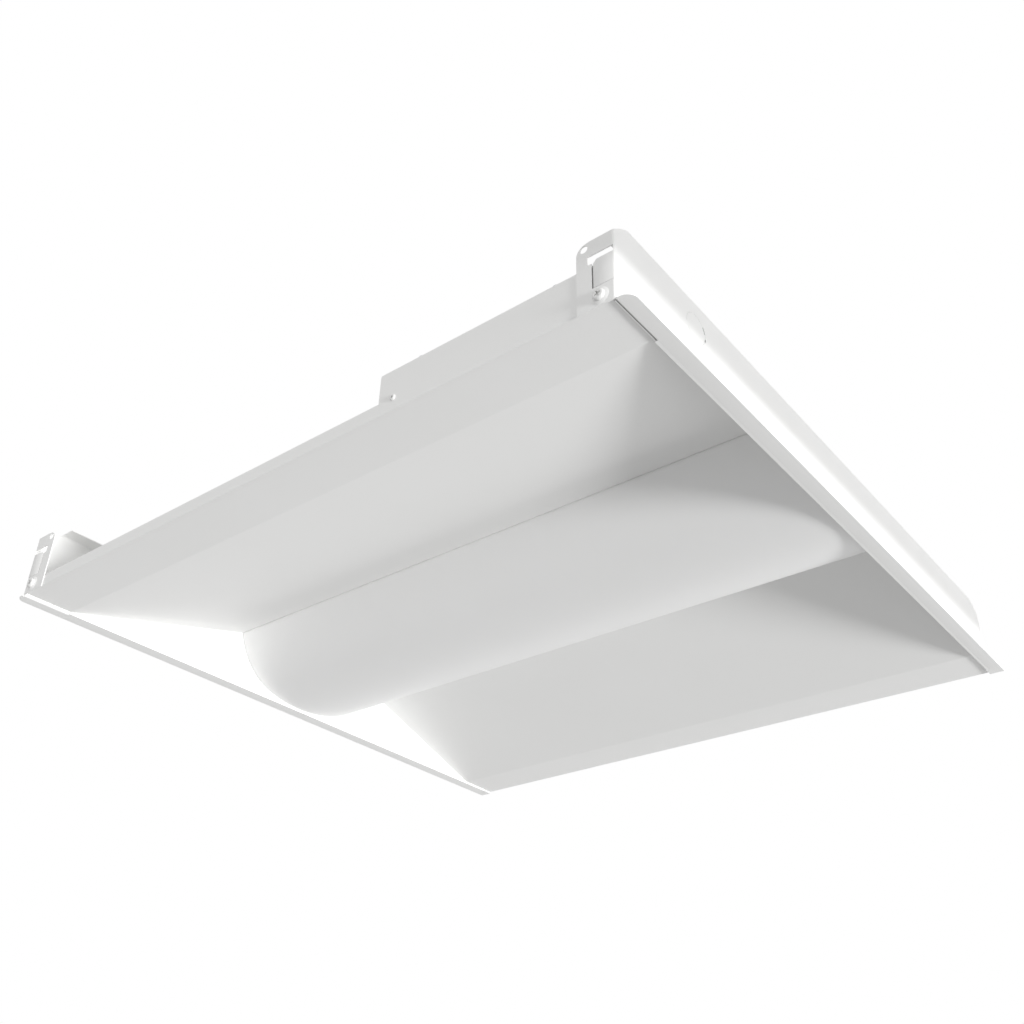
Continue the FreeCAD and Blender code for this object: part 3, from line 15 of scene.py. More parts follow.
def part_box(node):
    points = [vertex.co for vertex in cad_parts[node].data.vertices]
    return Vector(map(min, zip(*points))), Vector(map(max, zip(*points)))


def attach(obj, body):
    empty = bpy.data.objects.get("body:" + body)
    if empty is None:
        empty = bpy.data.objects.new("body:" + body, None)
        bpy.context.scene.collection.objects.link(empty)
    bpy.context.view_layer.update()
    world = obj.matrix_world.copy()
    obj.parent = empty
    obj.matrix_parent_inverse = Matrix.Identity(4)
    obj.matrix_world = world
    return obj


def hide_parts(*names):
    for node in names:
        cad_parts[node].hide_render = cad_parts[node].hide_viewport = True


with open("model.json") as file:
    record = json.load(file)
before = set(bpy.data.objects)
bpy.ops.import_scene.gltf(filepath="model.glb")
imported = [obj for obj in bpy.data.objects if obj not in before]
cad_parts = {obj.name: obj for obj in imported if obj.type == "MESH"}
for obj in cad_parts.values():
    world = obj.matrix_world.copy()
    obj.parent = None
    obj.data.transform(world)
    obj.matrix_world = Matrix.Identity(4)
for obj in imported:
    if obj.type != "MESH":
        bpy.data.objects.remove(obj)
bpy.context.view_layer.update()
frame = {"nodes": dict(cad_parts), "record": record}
nodes = frame["nodes"]
bodies = frame["record"]["behaviour"]["bodies"]
body_of_node = {node: body for body, members in bodies.items() for node in members}
MM = 0.001

# %% [markdown]
# The driving sizes of the sheet metal are read back from the CAD model where a node's box gives
# them, so that the folded pieces below fit it. The rest are the sizes of the bends, which a CAD
# box doesn't show.

# %% Sizes from the CAD model


def span(node, axis):
    """Lowest and highest place of a node along one axis, in millimetres."""
    low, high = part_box(node)
    index = "XYZ".index(axis)
    return low[index] / MM, high[index] / MM


half = span("end_plate_near", "X")[1]
plate_top = span("end_plate_near", "Z")[1]
band_level = span("side_reflector_left", "Z")[0]
cusp_x = -span("side_reflector_left", "X")[1]
left_wall = -span("side_reflector_left", "X")[0]
channel_half = span("light_channel", "X")[1]
gauge = 0.7
print("half", round(half, 2), "plate top", round(plate_top, 2), "cusp", round(cusp_x, 2))

# %% [markdown]
# Shader maths reads best as plain arithmetic. This small class wraps a node's output socket, so
# that a * b + 0.2 adds the Math nodes by itself, and one method adds any other node with its
# settings.

# %% A shader as an expression


class Value:
    """A socket of a node tree that takes part in arithmetic."""

    def __init__(self, shading, socket):
        self.shading = shading
        self.socket = socket

    def math(self, operation, *others):
        return self.shading.add("ShaderNodeMath", {"operation": operation}, self, *others)

    def __add__(self, other):
        return self.math("ADD", other)

    def __mul__(self, other):
        return self.math("MULTIPLY", other)

    __radd__ = __add__
    __rmul__ = __mul__


class Shading:
    """A node tree, with one method that adds a node to it and links what it is given."""

    def __init__(self, tree):
        self.tree = tree
        self.nodes = tree.nodes
        self.links = tree.links

    def add(self, kind, settings, *inputs, output=0, **named):
        node = self.nodes.new(kind)
        for key, value in settings.items():
            setattr(node, key, value)
        for place, value in list(enumerate(inputs)) + list(named.items()):
            socket = node.inputs[place if isinstance(place, int) else place.replace("_", " ")]
            if isinstance(value, Value):
                self.links.new(value.socket, socket)
            elif value is not None:
                socket.default_value = value
        return Value(self, node.outputs[output])


class Finish(Shading):
    """A material with its Principled shader."""

    def __init__(self, name, **plain):
        self.material = bpy.data.materials.new(name)
        self.material.use_nodes = True
        super().__init__(self.material.node_tree)
        self.shader = self.nodes["Principled BSDF"]
        for socket, value in plain.items():
            self.feed(socket.replace("_", " ").title(), value)

    def feed(self, socket, value):
        """Set an input of the shader: a number, a colour or a worked-out value."""
        target = self.shader.inputs[socket]
        if isinstance(value, Value):
            self.links.new(value.socket, target)
        elif hasattr(value, "__len__") and len(value) == 3:
            target.default_value = (*value, 1.0)
        else:
            target.default_value = value

    def place(self):
        """Where a point lies on the part, in metres, the same for every piece."""
        return self.add("ShaderNodeTexCoord", {}, output="Object")

    def noise(self, scale, detail=2.0, stretch=(1.0, 1.0, 1.0)):
        """Smooth random values round 0.5; scale is in cycles per metre."""
        where = self.add("ShaderNodeMapping", {}, self.place(), Scale=stretch)
        return self.add("ShaderNodeTexNoise", {}, where, Scale=scale, Detail=detail)

    def mix(self, factor, first, second):
        """A colour between two colours."""
        node = self.nodes.new("ShaderNodeMix")
        node.data_type = "RGBA"
        node.inputs[6].default_value = (*first, 1.0)
        node.inputs[7].default_value = (*second, 1.0)
        self.links.new(factor.socket, node.inputs[0])
        return Value(self, node.outputs[2])

    def bump(self, height, distance, strength):
        """Let a height, 0 to 1, tilt the surface as if it rose by a distance in metres."""
        node = self.nodes.new("ShaderNodeBump")
        node.inputs["Distance"].default_value = distance
        node.inputs["Strength"].default_value = strength
        self.links.new(height.socket, node.inputs["Height"])
        self.links.new(node.outputs["Normal"], self.shader.inputs["Normal"])


# %% [markdown]
# Powder coat on steel is matt white with a faint orange-peel texture and a slight sheen. The
# reflectors carry a flatter, whiter paint. Both get a fine bump, and a very small drift of tone,
# as sprayed paint has.

# %% White paints


def powder_coat(name, tone, rough):
    """White paint with orange peel; tone is its lightness."""
    paint = Finish(name)
    drift = paint.noise(9.0, 3.0)
    colour = (tone, tone, tone * 0.992)
    deeper = (tone * 0.975, tone * 0.975, tone * 0.962)
    paint.feed("Base Color", paint.mix(drift, deeper, colour))
    peel = paint.noise(900.0, 2.0)
    paint.feed("Roughness", rough - 0.06 + peel * 0.12)
    paint.bump(peel, 0.00002, 0.5)
    return paint.material


white_paint = powder_coat("white powder coat", 0.87, 0.42)
reflector_paint = powder_coat("matt reflector paint", 0.88, 0.55)
print("paints made:", white_paint.name, "and", reflector_paint.name)

# %% [markdown]
# The lens is frosted acrylic. Its skin is a fine satin and light gets a little way into it, so it
# has a trace of subsurface scattering and a tighter bump than the paint.

# %% Frosted lens
frosted = Finish("frosted acrylic", roughness=0.4)
frosted.feed("IOR", 1.49)
cloud = frosted.noise(14.0, 2.0)
frosted.feed("Base Color", frosted.mix(cloud, (0.875, 0.875, 0.868), (0.895, 0.895, 0.89)))
frosted.feed("Subsurface Weight", 0.12)
frosted.feed("Subsurface Scale", 0.004)
frosted.shader.inputs["Subsurface Radius"].default_value = (1.0, 1.0, 1.0)
frosted.bump(frosted.noise(1600.0, 1.0), 0.00001, 0.6)
print("lens finish made:", frosted.material.name)

# %% [markdown]
# Bare metals: zinc plate has large, faint crystals that change its brightness and gloss, and
# spring steel is darker, with a grain along the strip. Both are fully metallic.

# %% Metals


def zinc_plate(name, tone, crystal):
    """Zinc on steel; crystal is how many spangles there are to a metre."""
    zinc = Finish(name, metallic=1.0)
    where = zinc.place()
    cells = zinc.add("ShaderNodeTexVoronoi", {}, where, Scale=crystal, output="Color")
    split = zinc.add("ShaderNodeSeparateColor", {}, cells)
    pale = tuple(tone * share for share in (1.0, 1.01, 1.03))
    dark = tuple(tone * share for share in (0.86, 0.87, 0.9))
    zinc.feed("Base Color", zinc.mix(split, dark, pale))
    zinc.feed("Roughness", 0.3 + split * 0.16)
    zinc.bump(zinc.noise(700.0, 3.0), 0.00001, 0.4)
    return zinc.material


def strip_steel(name, tone):
    """Bare rolled steel, with its grain along the strip."""
    steel = Finish(name, metallic=1.0)
    grain = steel.noise(500.0, 4.0, stretch=(1.0, 0.06, 1.0))
    steel.feed("Base Color", steel.mix(grain, (tone * 0.85,) * 3, (tone, tone, tone * 1.03)))
    steel.feed("Roughness", 0.24 + grain * 0.2)
    steel.bump(grain, 0.00001, 0.3)
    return steel.material


zinc_sheet = zinc_plate("galvanised sheet", 0.72, 160.0)
zinc_screw = zinc_plate("zinc-plated screw", 0.7, 900.0)
spring_steel = strip_steel("spring steel", 0.55)
print("metals made:", zinc_sheet.name, zinc_screw.name, spring_steel.name)

# %% [markdown]
# Moulded plastics, lacquered boards, sleeves and insulation all come from one recipe: a colour
# with a slight drift, a roughness and a moulding texture. Only the numbers differ.

# %% Plastics, boards and paints of the small parts


def moulded(name, colour, rough, drift=0.06, texture=800.0, coat=0.0):
    """A coloured material with a slight change of tone and a fine texture."""
    finish = Finish(name, coat_weight=coat)
    change = finish.noise(40.0, 3.0)
    darker = tuple(part * (1.0 - drift) for part in colour)
    finish.feed("Base Color", finish.mix(change, darker, colour))
    skin = finish.noise(texture, 2.0)
    finish.feed("Roughness", rough - 0.04 + skin * 0.08)
    finish.bump(skin, 0.00002, 0.5)
    return finish.material


screw_paint = moulded("white-finished screw", (0.8, 0.8, 0.79), 0.34, texture=1500.0)
board_white = moulded("white solder mask", (0.84, 0.86, 0.84), 0.32, coat=0.3)
circuit_green = moulded("green solder mask", (0.05, 0.24, 0.1), 0.3, 0.2, coat=0.4)
nylon_white = moulded("white nylon", (0.82, 0.81, 0.76), 0.45)
nylon_clear = moulded("natural nylon", (0.76, 0.75, 0.68), 0.4)
nylon_orange = moulded("orange nylon", (0.8, 0.28, 0.05), 0.42)
nylon_black = moulded("black nylon", (0.03, 0.03, 0.03), 0.4)
terminal_grey = moulded("grey terminal plastic", (0.3, 0.31, 0.32), 0.45)
case_paint = moulded("driver case paint", (0.78, 0.79, 0.8), 0.38)
winding_tape = moulded("yellow winding tape", (0.75, 0.55, 0.1), 0.35, 0.15, texture=400.0)
can_sleeve = moulded("dark shrink sleeve", (0.03, 0.035, 0.06), 0.25, coat=0.5)
insulation = moulded("lead insulation", (0.62, 0.62, 0.63), 0.35, 0.1)
earth_green = moulded("green-dyed zinc", (0.05, 0.3, 0.1), 0.3, texture=1500.0)
print("small parts' finishes made")

# %% [markdown]
# An emitter shows the yellow phosphor that fills its package, under a clear coat. A fine noise
# stands for its grains.

# %% Emitters' finish
phosphor = Finish("phosphor emitter", roughness=0.3, coat_weight=0.4)
speck = phosphor.noise(2500.0, 2.0)
phosphor.feed("Base Color", phosphor.mix(speck, (0.82, 0.66, 0.16), (0.9, 0.78, 0.3)))
phosphor.bump(speck, 0.00002, 0.4)
print("emitter finish made")

# %% [markdown]
# Each CAD node has a slot in the record. A finished piece takes the slot, the body and the place
# of the node that it stands in for, and a node that stays gets the finish of its slot.

# %% Finishes by slot
finish_of_slot = {
    "white_steel": white_paint,
    "reflector_white": reflector_paint,
    "frosted_lens": frosted.material,
    "zinc_steel": zinc_screw,
    "white_screw": screw_paint,
    "spring_steel": spring_steel,
    "board_white": board_white,
    "emitter_phosphor": phosphor.material,
    "connector_white": nylon_white,
    "driver_white": case_paint,
    "circuit_green": circuit_green,
    "winding_tape": winding_tape,
    "can_sleeve": can_sleeve,
    "terminal_grey": terminal_grey,
    "disconnect_orange": nylon_orange,
    "disconnect_clear": nylon_clear,
    "lead_insulation": insulation,
    "bushing_black": nylon_black,
    "earth_green": earth_green,
}
slot_of_node = {part["node"]: part["material_slot"] for part in frame["record"]["subparts"]}
for node, thing in nodes.items():
    thing.data.materials.clear()
    thing.data.materials.append(finish_of_slot[slot_of_node[node]])
print("dressed", len(nodes), "nodes")

# %% [markdown]
# The next helpers are the moves of a sheet metal shop. An operator acts on whatever is selected,
# so each one starts by selecting its own piece alone, and picks corners by their place.

# %% Selecting, and ending a piece


def alone(thing):
    """Select one object and nothing else."""
    bpy.ops.object.select_all(action="DESELECT")
    thing.select_set(True)
    bpy.context.view_layer.objects.active = thing


def pick(thing, test):
    """In edit mode, select the corners whose place in millimetres passes a test."""
    bpy.ops.mesh.select_mode(type="VERT")
    bpy.ops.mesh.select_all(action="DESELECT")
    mesh = bmesh.from_edit_mesh(thing.data)
    for corner in mesh.verts:
        corner.select = bool(test(corner.co / MM))
    mesh.select_flush(True)
    bmesh.update_edit_mesh(thing.data)


def shade(thing, angle=30):
    """Smooth the bends and keep the corners crisp."""
    alone(thing)
    bpy.ops.object.shade_smooth_by_angle(angle=math.radians(angle))


def stand_in(thing, node, finish=None, angle=30):
    """Give a finished piece its paint, and let it take a CAD node's place on the same body."""
    shade(thing, angle)
    thing.name = f"{node}_made"
    slot = slot_of_node[node]
    thing.data.materials.clear()
    thing.data.materials.append(finish or finish_of_slot[slot])
    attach(thing, body_of_node[node])
    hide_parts(node)
    print(thing.name, len(thing.data.polygons), "faces")


# %% [markdown]
# A folded sheet is drawn as a bent line first. One edge of a plane is kept and extruded from point
# to point, each fold is rounded with a bevel, and Solidify then gives the sheet its thickness on
# both sides of that line. The line is therefore the middle of the sheet. Lengths are in
# millimetres here, and MM turns them into metres where an operator wants them.

# %% Folding a sheet
PLACES = {"X": (1, 2), "Y": (0, 2), "Z": (0, 1)}


def in_space(axis, point, along):
    """A point of the bent line, at a distance along the fold."""
    place = [along] * 3
    for index, value in zip(PLACES[axis], point):
        place[index] = value
    return Vector(place)


def fold_sheet(name, axis, low, high, line, bends=None):
    """A bent strip without thickness; bends gives a fold's radius by its point's number."""
    bpy.ops.object.select_all(action="DESELECT")
    length = high - low
    bpy.ops.mesh.primitive_plane_add(size=length * MM)
    strip = bpy.context.object
    strip.name = name
    bpy.ops.object.mode_set(mode="EDIT")
    side = 0 if axis == "Y" else 1
    pick(strip, lambda at: at[side] > 0)
    bpy.ops.mesh.delete(type="VERT")
    bpy.ops.mesh.select_all(action="SELECT")
    middle = Vector((0, 0, 0))
    middle[side] = -length / 2
    if axis == "Z":
        bpy.ops.transform.rotate(value=math.pi / 2, orient_axis="Y", center_override=middle * MM)
    start = in_space(axis, line[0], (low + high) / 2)
    bpy.ops.transform.translate(value=(start - middle) * MM)
    for before, after in zip(line, line[1:]):
        step = in_space(axis, after, 0) - in_space(axis, before, 0)
        bpy.ops.mesh.extrude_region_move(TRANSFORM_OT_translate={"value": step * MM})
    for number, radius in (bends or {}).items():
        round_fold(strip, axis, line[number - 1 : number + 2], radius)
    bpy.ops.object.mode_set(mode="OBJECT")
    return strip


def round_fold(strip, axis, points, radius):
    """Bevel the edge at the middle one of three points to a bend radius."""
    before, corner, after = (Vector(point) for point in points)
    turn = (corner - before).angle(after - corner)
    first, second = PLACES[axis]
    pick(strip, lambda at: abs(at[first] - corner.x) < 0.01 and abs(at[second] - corner.y) < 0.01)
    steps = max(2, math.ceil(turn / math.radians(12)))
    offset = radius * math.tan(turn / 2) * MM
    bpy.ops.mesh.bevel(
        offset=offset, offset_type="OFFSET", segments=steps, affect="EDGES", clamp_overlap=False
    )


def extend(strip, test, step):
    """Push an edge of a strip further out."""
    alone(strip)
    bpy.ops.object.mode_set(mode="EDIT")
    pick(strip, test)
    bpy.ops.mesh.extrude_region_move(TRANSFORM_OT_translate={"value": Vector(step) * MM})
    bpy.ops.object.mode_set(mode="OBJECT")


def snip(thing, point, outward, fill=False):
    """Cut away what lies past a plane."""
    alone(thing)
    bpy.ops.object.mode_set(mode="EDIT")
    bpy.ops.mesh.select_all(action="SELECT")
    place = Vector(point) * MM
    bpy.ops.mesh.bisect(plane_co=place, plane_no=outward, clear_outer=True, use_fill=fill)
    bpy.ops.object.mode_set(mode="OBJECT")


def round_corner(thing, axis, centre, radius, start, end, steps=7):
    """Snip a convex corner along planes that touch an arc, from one angle to another in degrees."""
    for number in range(steps):
        angle = math.radians(start + (end - start) * number / (steps - 1))
        outward = in_space(axis, (math.cos(angle), math.sin(angle)), 0)
        snip(thing, in_space(axis, centre, 0) + outward * radius, outward)


def thicken(thing, thickness=gauge):
    """Give a bent strip its thickness, half on each side."""
    alone(thing)
    solid = thing.modifiers.new("thickness", "SOLIDIFY")
    solid.thickness = thickness * MM
    solid.offset = 0.0
    solid.use_even_offset = True
    bpy.ops.object.modifier_apply(modifier=solid.name)


# %% [markdown]
# Solid cutters and small bodies start as a cube or a cone at their size and place. A Boolean
# modifier takes a cutter away or unites a body with a piece. Equal pieces are copies, each with
# its own mesh.

# %% Blocks, rods, cuts and copies


def settle(thing):
    """Bring the place and the turn of an object into its mesh."""
    alone(thing)
    bpy.ops.object.transform_apply(location=True, rotation=True, scale=True)
    return thing


def block(low, high):
    """A box between two corners."""
    low, high = Vector(low), Vector(high)
    bpy.ops.object.select_all(action="DESELECT")
    bpy.ops.mesh.primitive_cube_add(size=MM, location=(low + high) / 2 * MM)
    thing = bpy.context.object
    bpy.ops.object.mode_set(mode="EDIT")
    bpy.ops.transform.resize(value=high - low)
    bpy.ops.object.mode_set(mode="OBJECT")
    return settle(thing)


def rod(foot, direction, radius, length, top_radius=None, sides=32):
    """A cylinder or cone from its foot along a direction."""
    direction = Vector(direction).normalized()
    middle = Vector(foot) + direction * length / 2
    bpy.ops.object.select_all(action="DESELECT")
    bpy.ops.mesh.primitive_cone_add(
        vertices=sides,
        radius1=radius * MM,
        radius2=(radius if top_radius is None else top_radius) * MM,
        depth=length * MM,
        location=middle * MM,
        rotation=direction.to_track_quat("Z", "Y").to_euler(),
    )
    return settle(bpy.context.object)


def combine(thing, other, operation):
    """Let a second body change a piece, and clear that body."""
    alone(thing)
    change = thing.modifiers.new("change", "BOOLEAN")
    change.operation = operation
    change.solver = "EXACT"
    change.object = other
    bpy.ops.object.modifier_apply(modifier=change.name)
    bpy.data.objects.remove(other)


def cut_out(thing, *cutters):
    """Take cutters away from a piece."""
    for cutter in cutters:
        combine(thing, cutter, "DIFFERENCE")


def bevel_top(thing, level, width, steps):
    """Round the edge of a body's flat top."""
    alone(thing)
    bpy.ops.object.mode_set(mode="EDIT")
    pick(thing, lambda at: at.z > level - 0.01)
    bpy.ops.mesh.bevel(offset=width * MM, segments=steps, affect="EDGES")
    bpy.ops.object.mode_set(mode="OBJECT")


def join(things):
    """Make one object of several."""
    alone(things[0])
    for thing in things[1:]:
        thing.select_set(True)
    bpy.ops.object.join()
    return things[0]


def copy_by(thing, matrix):
    """A copy with its own mesh, moved by a matrix."""
    twin = thing.copy()
    twin.data = thing.data.copy()
    bpy.context.scene.collection.objects.link(twin)
    twin.data.transform(matrix)
    return twin


def islands(node):
    """Lowest and highest corner of each separate solid of a CAD node, in millimetres."""
    mesh = bmesh.new()
    mesh.from_mesh(nodes[node].data)
    bmesh.ops.remove_doubles(mesh, verts=mesh.verts, dist=0.001 * MM)
    left = set(mesh.verts)
    boxes = []
    while left:
        reached = [left.pop()]
        for corner in reached:
            for edge in corner.link_edges:
                other = edge.other_vert(corner)
                if other in left:
                    left.remove(other)
                    reached.append(other)
        places = [corner.co / MM for corner in reached]
        low = Vector(tuple(min(place[axis] for place in places) for axis in range(3)))
        high = Vector(tuple(max(place[axis] for place in places) for axis in range(3)))
        boxes.append((low, high))
    mesh.free()
    return sorted(boxes, key=lambda box: tuple(box[0]))


print("helpers ready")

# %% [markdown]
# The shape of the cross-section: flat bands along the sides, panels that slope up to the cusps on
# both sides of the lens, and end reflectors that lean outwards as they go down. An end reflector's
# lean is how far it moves out for each millimetre down.

# %% The section
sheet_mid = gauge / 2
band_width = 43.0
cusp_drop = 19.7
flange_width = 10.2
end_lean = 0.268
play = 0.3
band_inner = half - band_width
cusp_level = plate_top - cusp_drop
upright_top = span("side_reflector_left", "Z")[1]
slope = (cusp_level - band_level) / (band_inner - cusp_x)
panel_rise = gauge * math.sqrt(1 + slope * slope)
end_foot = span("end_reflector_far", "Y")[1] - gauge
plate_mid = half - flange_width - sheet_mid
print("slope", round(slope, 4), "end foot", round(end_foot, 2), "plate", round(plate_mid, 2))


def panel_level(x):
    """Height of the middle of a sloping panel's sheet."""
    return band_level + slope * (band_inner - x) + panel_rise / 2


def end_face(z):
    """Distance of an end reflector's lit face from the middle."""
    return end_foot - end_lean * z


# %% [markdown]
# A side reflector is one sheet: a flat band, the sloping panel and an upright lip by the lens.
# Both ends are cut parallel to the end reflectors. The side wall rises from the band, with a
# rolled top, and is folded from the same sheet on the left. Beside the wiring box that wall is
# higher. On the right it stands on the band as a strip of its own, so it has no foot.

# %% Side reflectors
wall_roll = 4.65
wall_lip = 10.65
low_wall_top = band_level + 12.9
high_wall_top = 37.7
right_wall_inset = 10.35


def side_wall(side, mid, top, low, high, foot):
    """A wall with a rolled top and a lip; foot is where its strip of the band ends, or None."""
    roll_level = top - sheet_mid
    line = [(mid - wall_lip, roll_level), (mid, roll_level), (mid, band_level + sheet_mid)]
    bends = {1: wall_roll}
    if foot:
        line.append((foot, band_level + sheet_mid))
        bends[2] = 1.2
    else:
        line[2] = (mid, band_level + gauge)
    line = [(x * side, z) for x, z in line]
    return fold_sheet("side wall", "Y", low, high, line, bends)


def side_panel(side, outer):
    """Band, sloping panel and upright lip."""
    level = band_level + sheet_mid
    fold = band_inner + (panel_rise / 2 - sheet_mid) / slope
    upright = cusp_x + sheet_mid
    line = [(outer, level), (fold, level), (upright, panel_level(upright)), (upright, upright_top)]
    line = [(x * side, z) for x, z in line]
    return fold_sheet("panel", "Y", -end_foot - 1, end_foot + 1, line, {1: 4.0, 2: 0.4})


def trim_ends(thing, gap):
    """Cut both ends parallel to the end reflectors."""
    for end in (-1, 1):
        outward = Vector((0, end, end_lean)).normalized()
        snip(thing, (0, (end_face(0) - gap) * end, 0), outward)


wall_end = end_face(band_level + gauge) - play
step_y = span("wiring_lid", "Y")[1]
left_mid = left_wall - sheet_mid
join_x = left_wall - 6.0
left = side_panel(-1, join_x)
trim_ends(left, play)
low_wall = side_wall(-1, left_mid, low_wall_top, step_y, wall_end, join_x)
high_wall = side_wall(-1, left_mid, high_wall_top, -wall_end, step_y, join_x)
left = join([left, low_wall, high_wall])
thicken(left)
slit_y, slit_width, slit_z = -277.4, 1.5, (15.8, 35.6)
slit_low = (-left_wall - 1, slit_y, slit_z[0])
slit_high = (-left_wall + 2, slit_y + slit_width, slit_z[1])
cut_out(left, block(slit_low, slit_high))
stand_in(left, "side_reflector_left")

right_mid = span("side_reflector_right", "X")[1] - right_wall_inset
right = side_panel(1, half)
trim_ends(right, play)
right_wall = side_wall(1, right_mid, low_wall_top, -wall_end, wall_end, None)
right = join([right, right_wall])
thicken(right)
stand_in(right, "side_reflector_right")

# %% [markdown]
# An end reflector closes the recess. Its middle runs up under the light channel and folds outwards
# there, and its two wings follow the sloping panels a few millimetres above them.

# %% End reflectors
shoulder = channel_half + 6.0
wing_gap = 4.0
foot_height = 5.9


def end_reflector(end):
    """The middle sheet, a wing and a low foot on each side; end is -1 near and 1 far."""
    lean = gauge * math.sqrt(1 + end_lean * end_lean) / 2
    top = span("end_reflector_near", "Z")[1] - sheet_mid
    lap = span("light_channel", "Y")[1]

    def leaning(z):
        return ((end_face(z) + lean) * end, z)

    head = [leaning(gauge), leaning(top), (lap * end, top)]
    parts = [fold_sheet("end sheet", "X", -shoulder, shoulder, head, {1: 1.5})]
    for side, outer in ((-1, left_wall - 1.0), (1, right_mid - gauge)):
        inner_part = sorted((shoulder * side, band_inner * side))
        wing = fold_sheet("wing", "X", *inner_part, [leaning(gauge), leaning(top)])
        edge = Vector((slope * side, 0, 1)).normalized()
        snip(wing, (band_inner * side, 0, band_level + gauge + wing_gap), edge)
        outer_part = sorted((band_inner * side, outer * side))
        foot = fold_sheet("foot", "X", *outer_part, [leaning(gauge), leaning(foot_height)])
        parts += [wing, foot]
    sheet = join(parts)
    thicken(sheet)
    return sheet


for end, name in ((-1, "end_reflector_near"), (1, "end_reflector_far")):
    stand_in(end_reflector(end), name)

# %% [markdown]
# The basket lens is one extruded section: a nearly flat crown, two rounder flanks and two upright
# edges that the springs grip. Its line is made of arcs, worked out so that they meet smoothly.

# %% Lens


def arc(centre, radius, start, end, steps):
    """Points on an arc, angles in degrees from the X direction."""
    points = []
    for number in range(steps + 1):
        angle = math.radians(start + (end - start) * number / steps)
        points.append((centre[0] + radius * math.cos(angle), centre[1] + radius * math.sin(angle)))
    return points


lens_gauge, crown_radius, crown_edge = 1.6, 162.5, 40.0
lens_side_gap, lens_end_gap, lens_bend = 0.08, 0.6, 0.9
lens_low, lens_high = span("centre_lens", "Z")
lens_edge = cusp_x - lens_side_gap
flank_top = cusp_level - 1.0
tilt = crown_edge / crown_radius
level = math.sqrt(1 - tilt * tilt)
crown_end = lens_low + crown_radius * (1 - level)
run, rise = lens_edge - crown_edge, flank_top - crown_end
flank_radius = (run * run + rise * rise) / (2 * (rise * level - run * tilt))
flank_centre = (crown_edge - flank_radius * tilt, crown_end + flank_radius * level)
tilt_angle = math.degrees(math.asin(tilt))
lens_mid = lens_gauge / 2
flank_end = math.degrees(
    math.acos((lens_edge - lens_mid - flank_centre[0]) / (flank_radius - lens_mid))
)
crown_centre = (0, lens_low + crown_radius)
crown = arc(crown_centre, crown_radius - lens_mid, -90 - tilt_angle, -90 + tilt_angle, 14)
flank = arc(flank_centre, flank_radius - lens_mid, -90 + tilt_angle, -flank_end, 14)[1:]
one_side = flank + [(lens_edge - lens_mid, lens_high)]
lens_line = [(-x, z) for x, z in reversed(one_side)] + crown + one_side
lens_bends = {1: lens_bend, len(lens_line) - 2: lens_bend}
lens = fold_sheet("lens", "Y", -end_foot, end_foot, lens_line, lens_bends)
trim_ends(lens, lens_end_gap)
thicken(lens, lens_gauge)
stand_in(lens, "centre_lens", angle=40)

# %% [markdown]
# An end plate is the most formed sheet: a flange at the bottom, an upright, a rolled top with a
# lip, and a flap round each corner. The corners slope along an arc. Snips along planes that touch
# an arc round any convex corner, and the slots and holes are cut when the sheet has its thickness.
# Paint closes the seam between the flange and the foot of the end reflector, except beside the
# left band, and a thin strip stands for it.

# %% End plates
roll_mid = 2.5 - sheet_mid
flange_corner = 7.0
lip_width = 15.0
flap_width, flap_top, flap_corner = 26.0, 53.6, 8.0
slope_run, slope_radius = 20.0, 60.0
fold_inset = 1.6
lip_edge = half - flange_width - lip_width
flap_free = half - flange_width - flap_width
plate_left = -half + fold_inset
right_fold = half - 9.2
plate_right = right_fold - fold_inset
top_mid = plate_top - sheet_mid
clip_depth, clip_opening = 15.15, (16.0, 41.0)
head_depth, head_opening = 18.05, (35.5, 42.0)
hanger_radius, hanger_inset, hanger_drop = 2.7, 5.3, 4.0
seat_radius, seat_top_radius, seat_inset, seat_level = 6.6, 4.6, 10.05, 8.0
knockout_inset, knockout_drop = 91.1, 23.4
knockout_radius, ring_width, open_width = 11.1, 0.15, 1.0


def slope_corner(thing, side, corner_x):
    """Slope a top corner of the plate along an arc that bulges outwards."""
    first = Vector((corner_x, flap_top))
    last = Vector((corner_x - slope_run * side, plate_top))
    chord = last - first
    out = Vector((side * abs(chord.y), abs(chord.x))).normalized()
    middle = (first + last) / 2
    depth = math.sqrt(slope_radius**2 - (chord.length / 2) ** 2)
    centre = middle - out * depth
    spokes = (first - centre, last - centre)
    angles = [math.degrees(math.atan2(spoke.y, spoke.x)) for spoke in spokes]
    round_corner(thing, "Y", centre, slope_radius, *angles, steps=6)


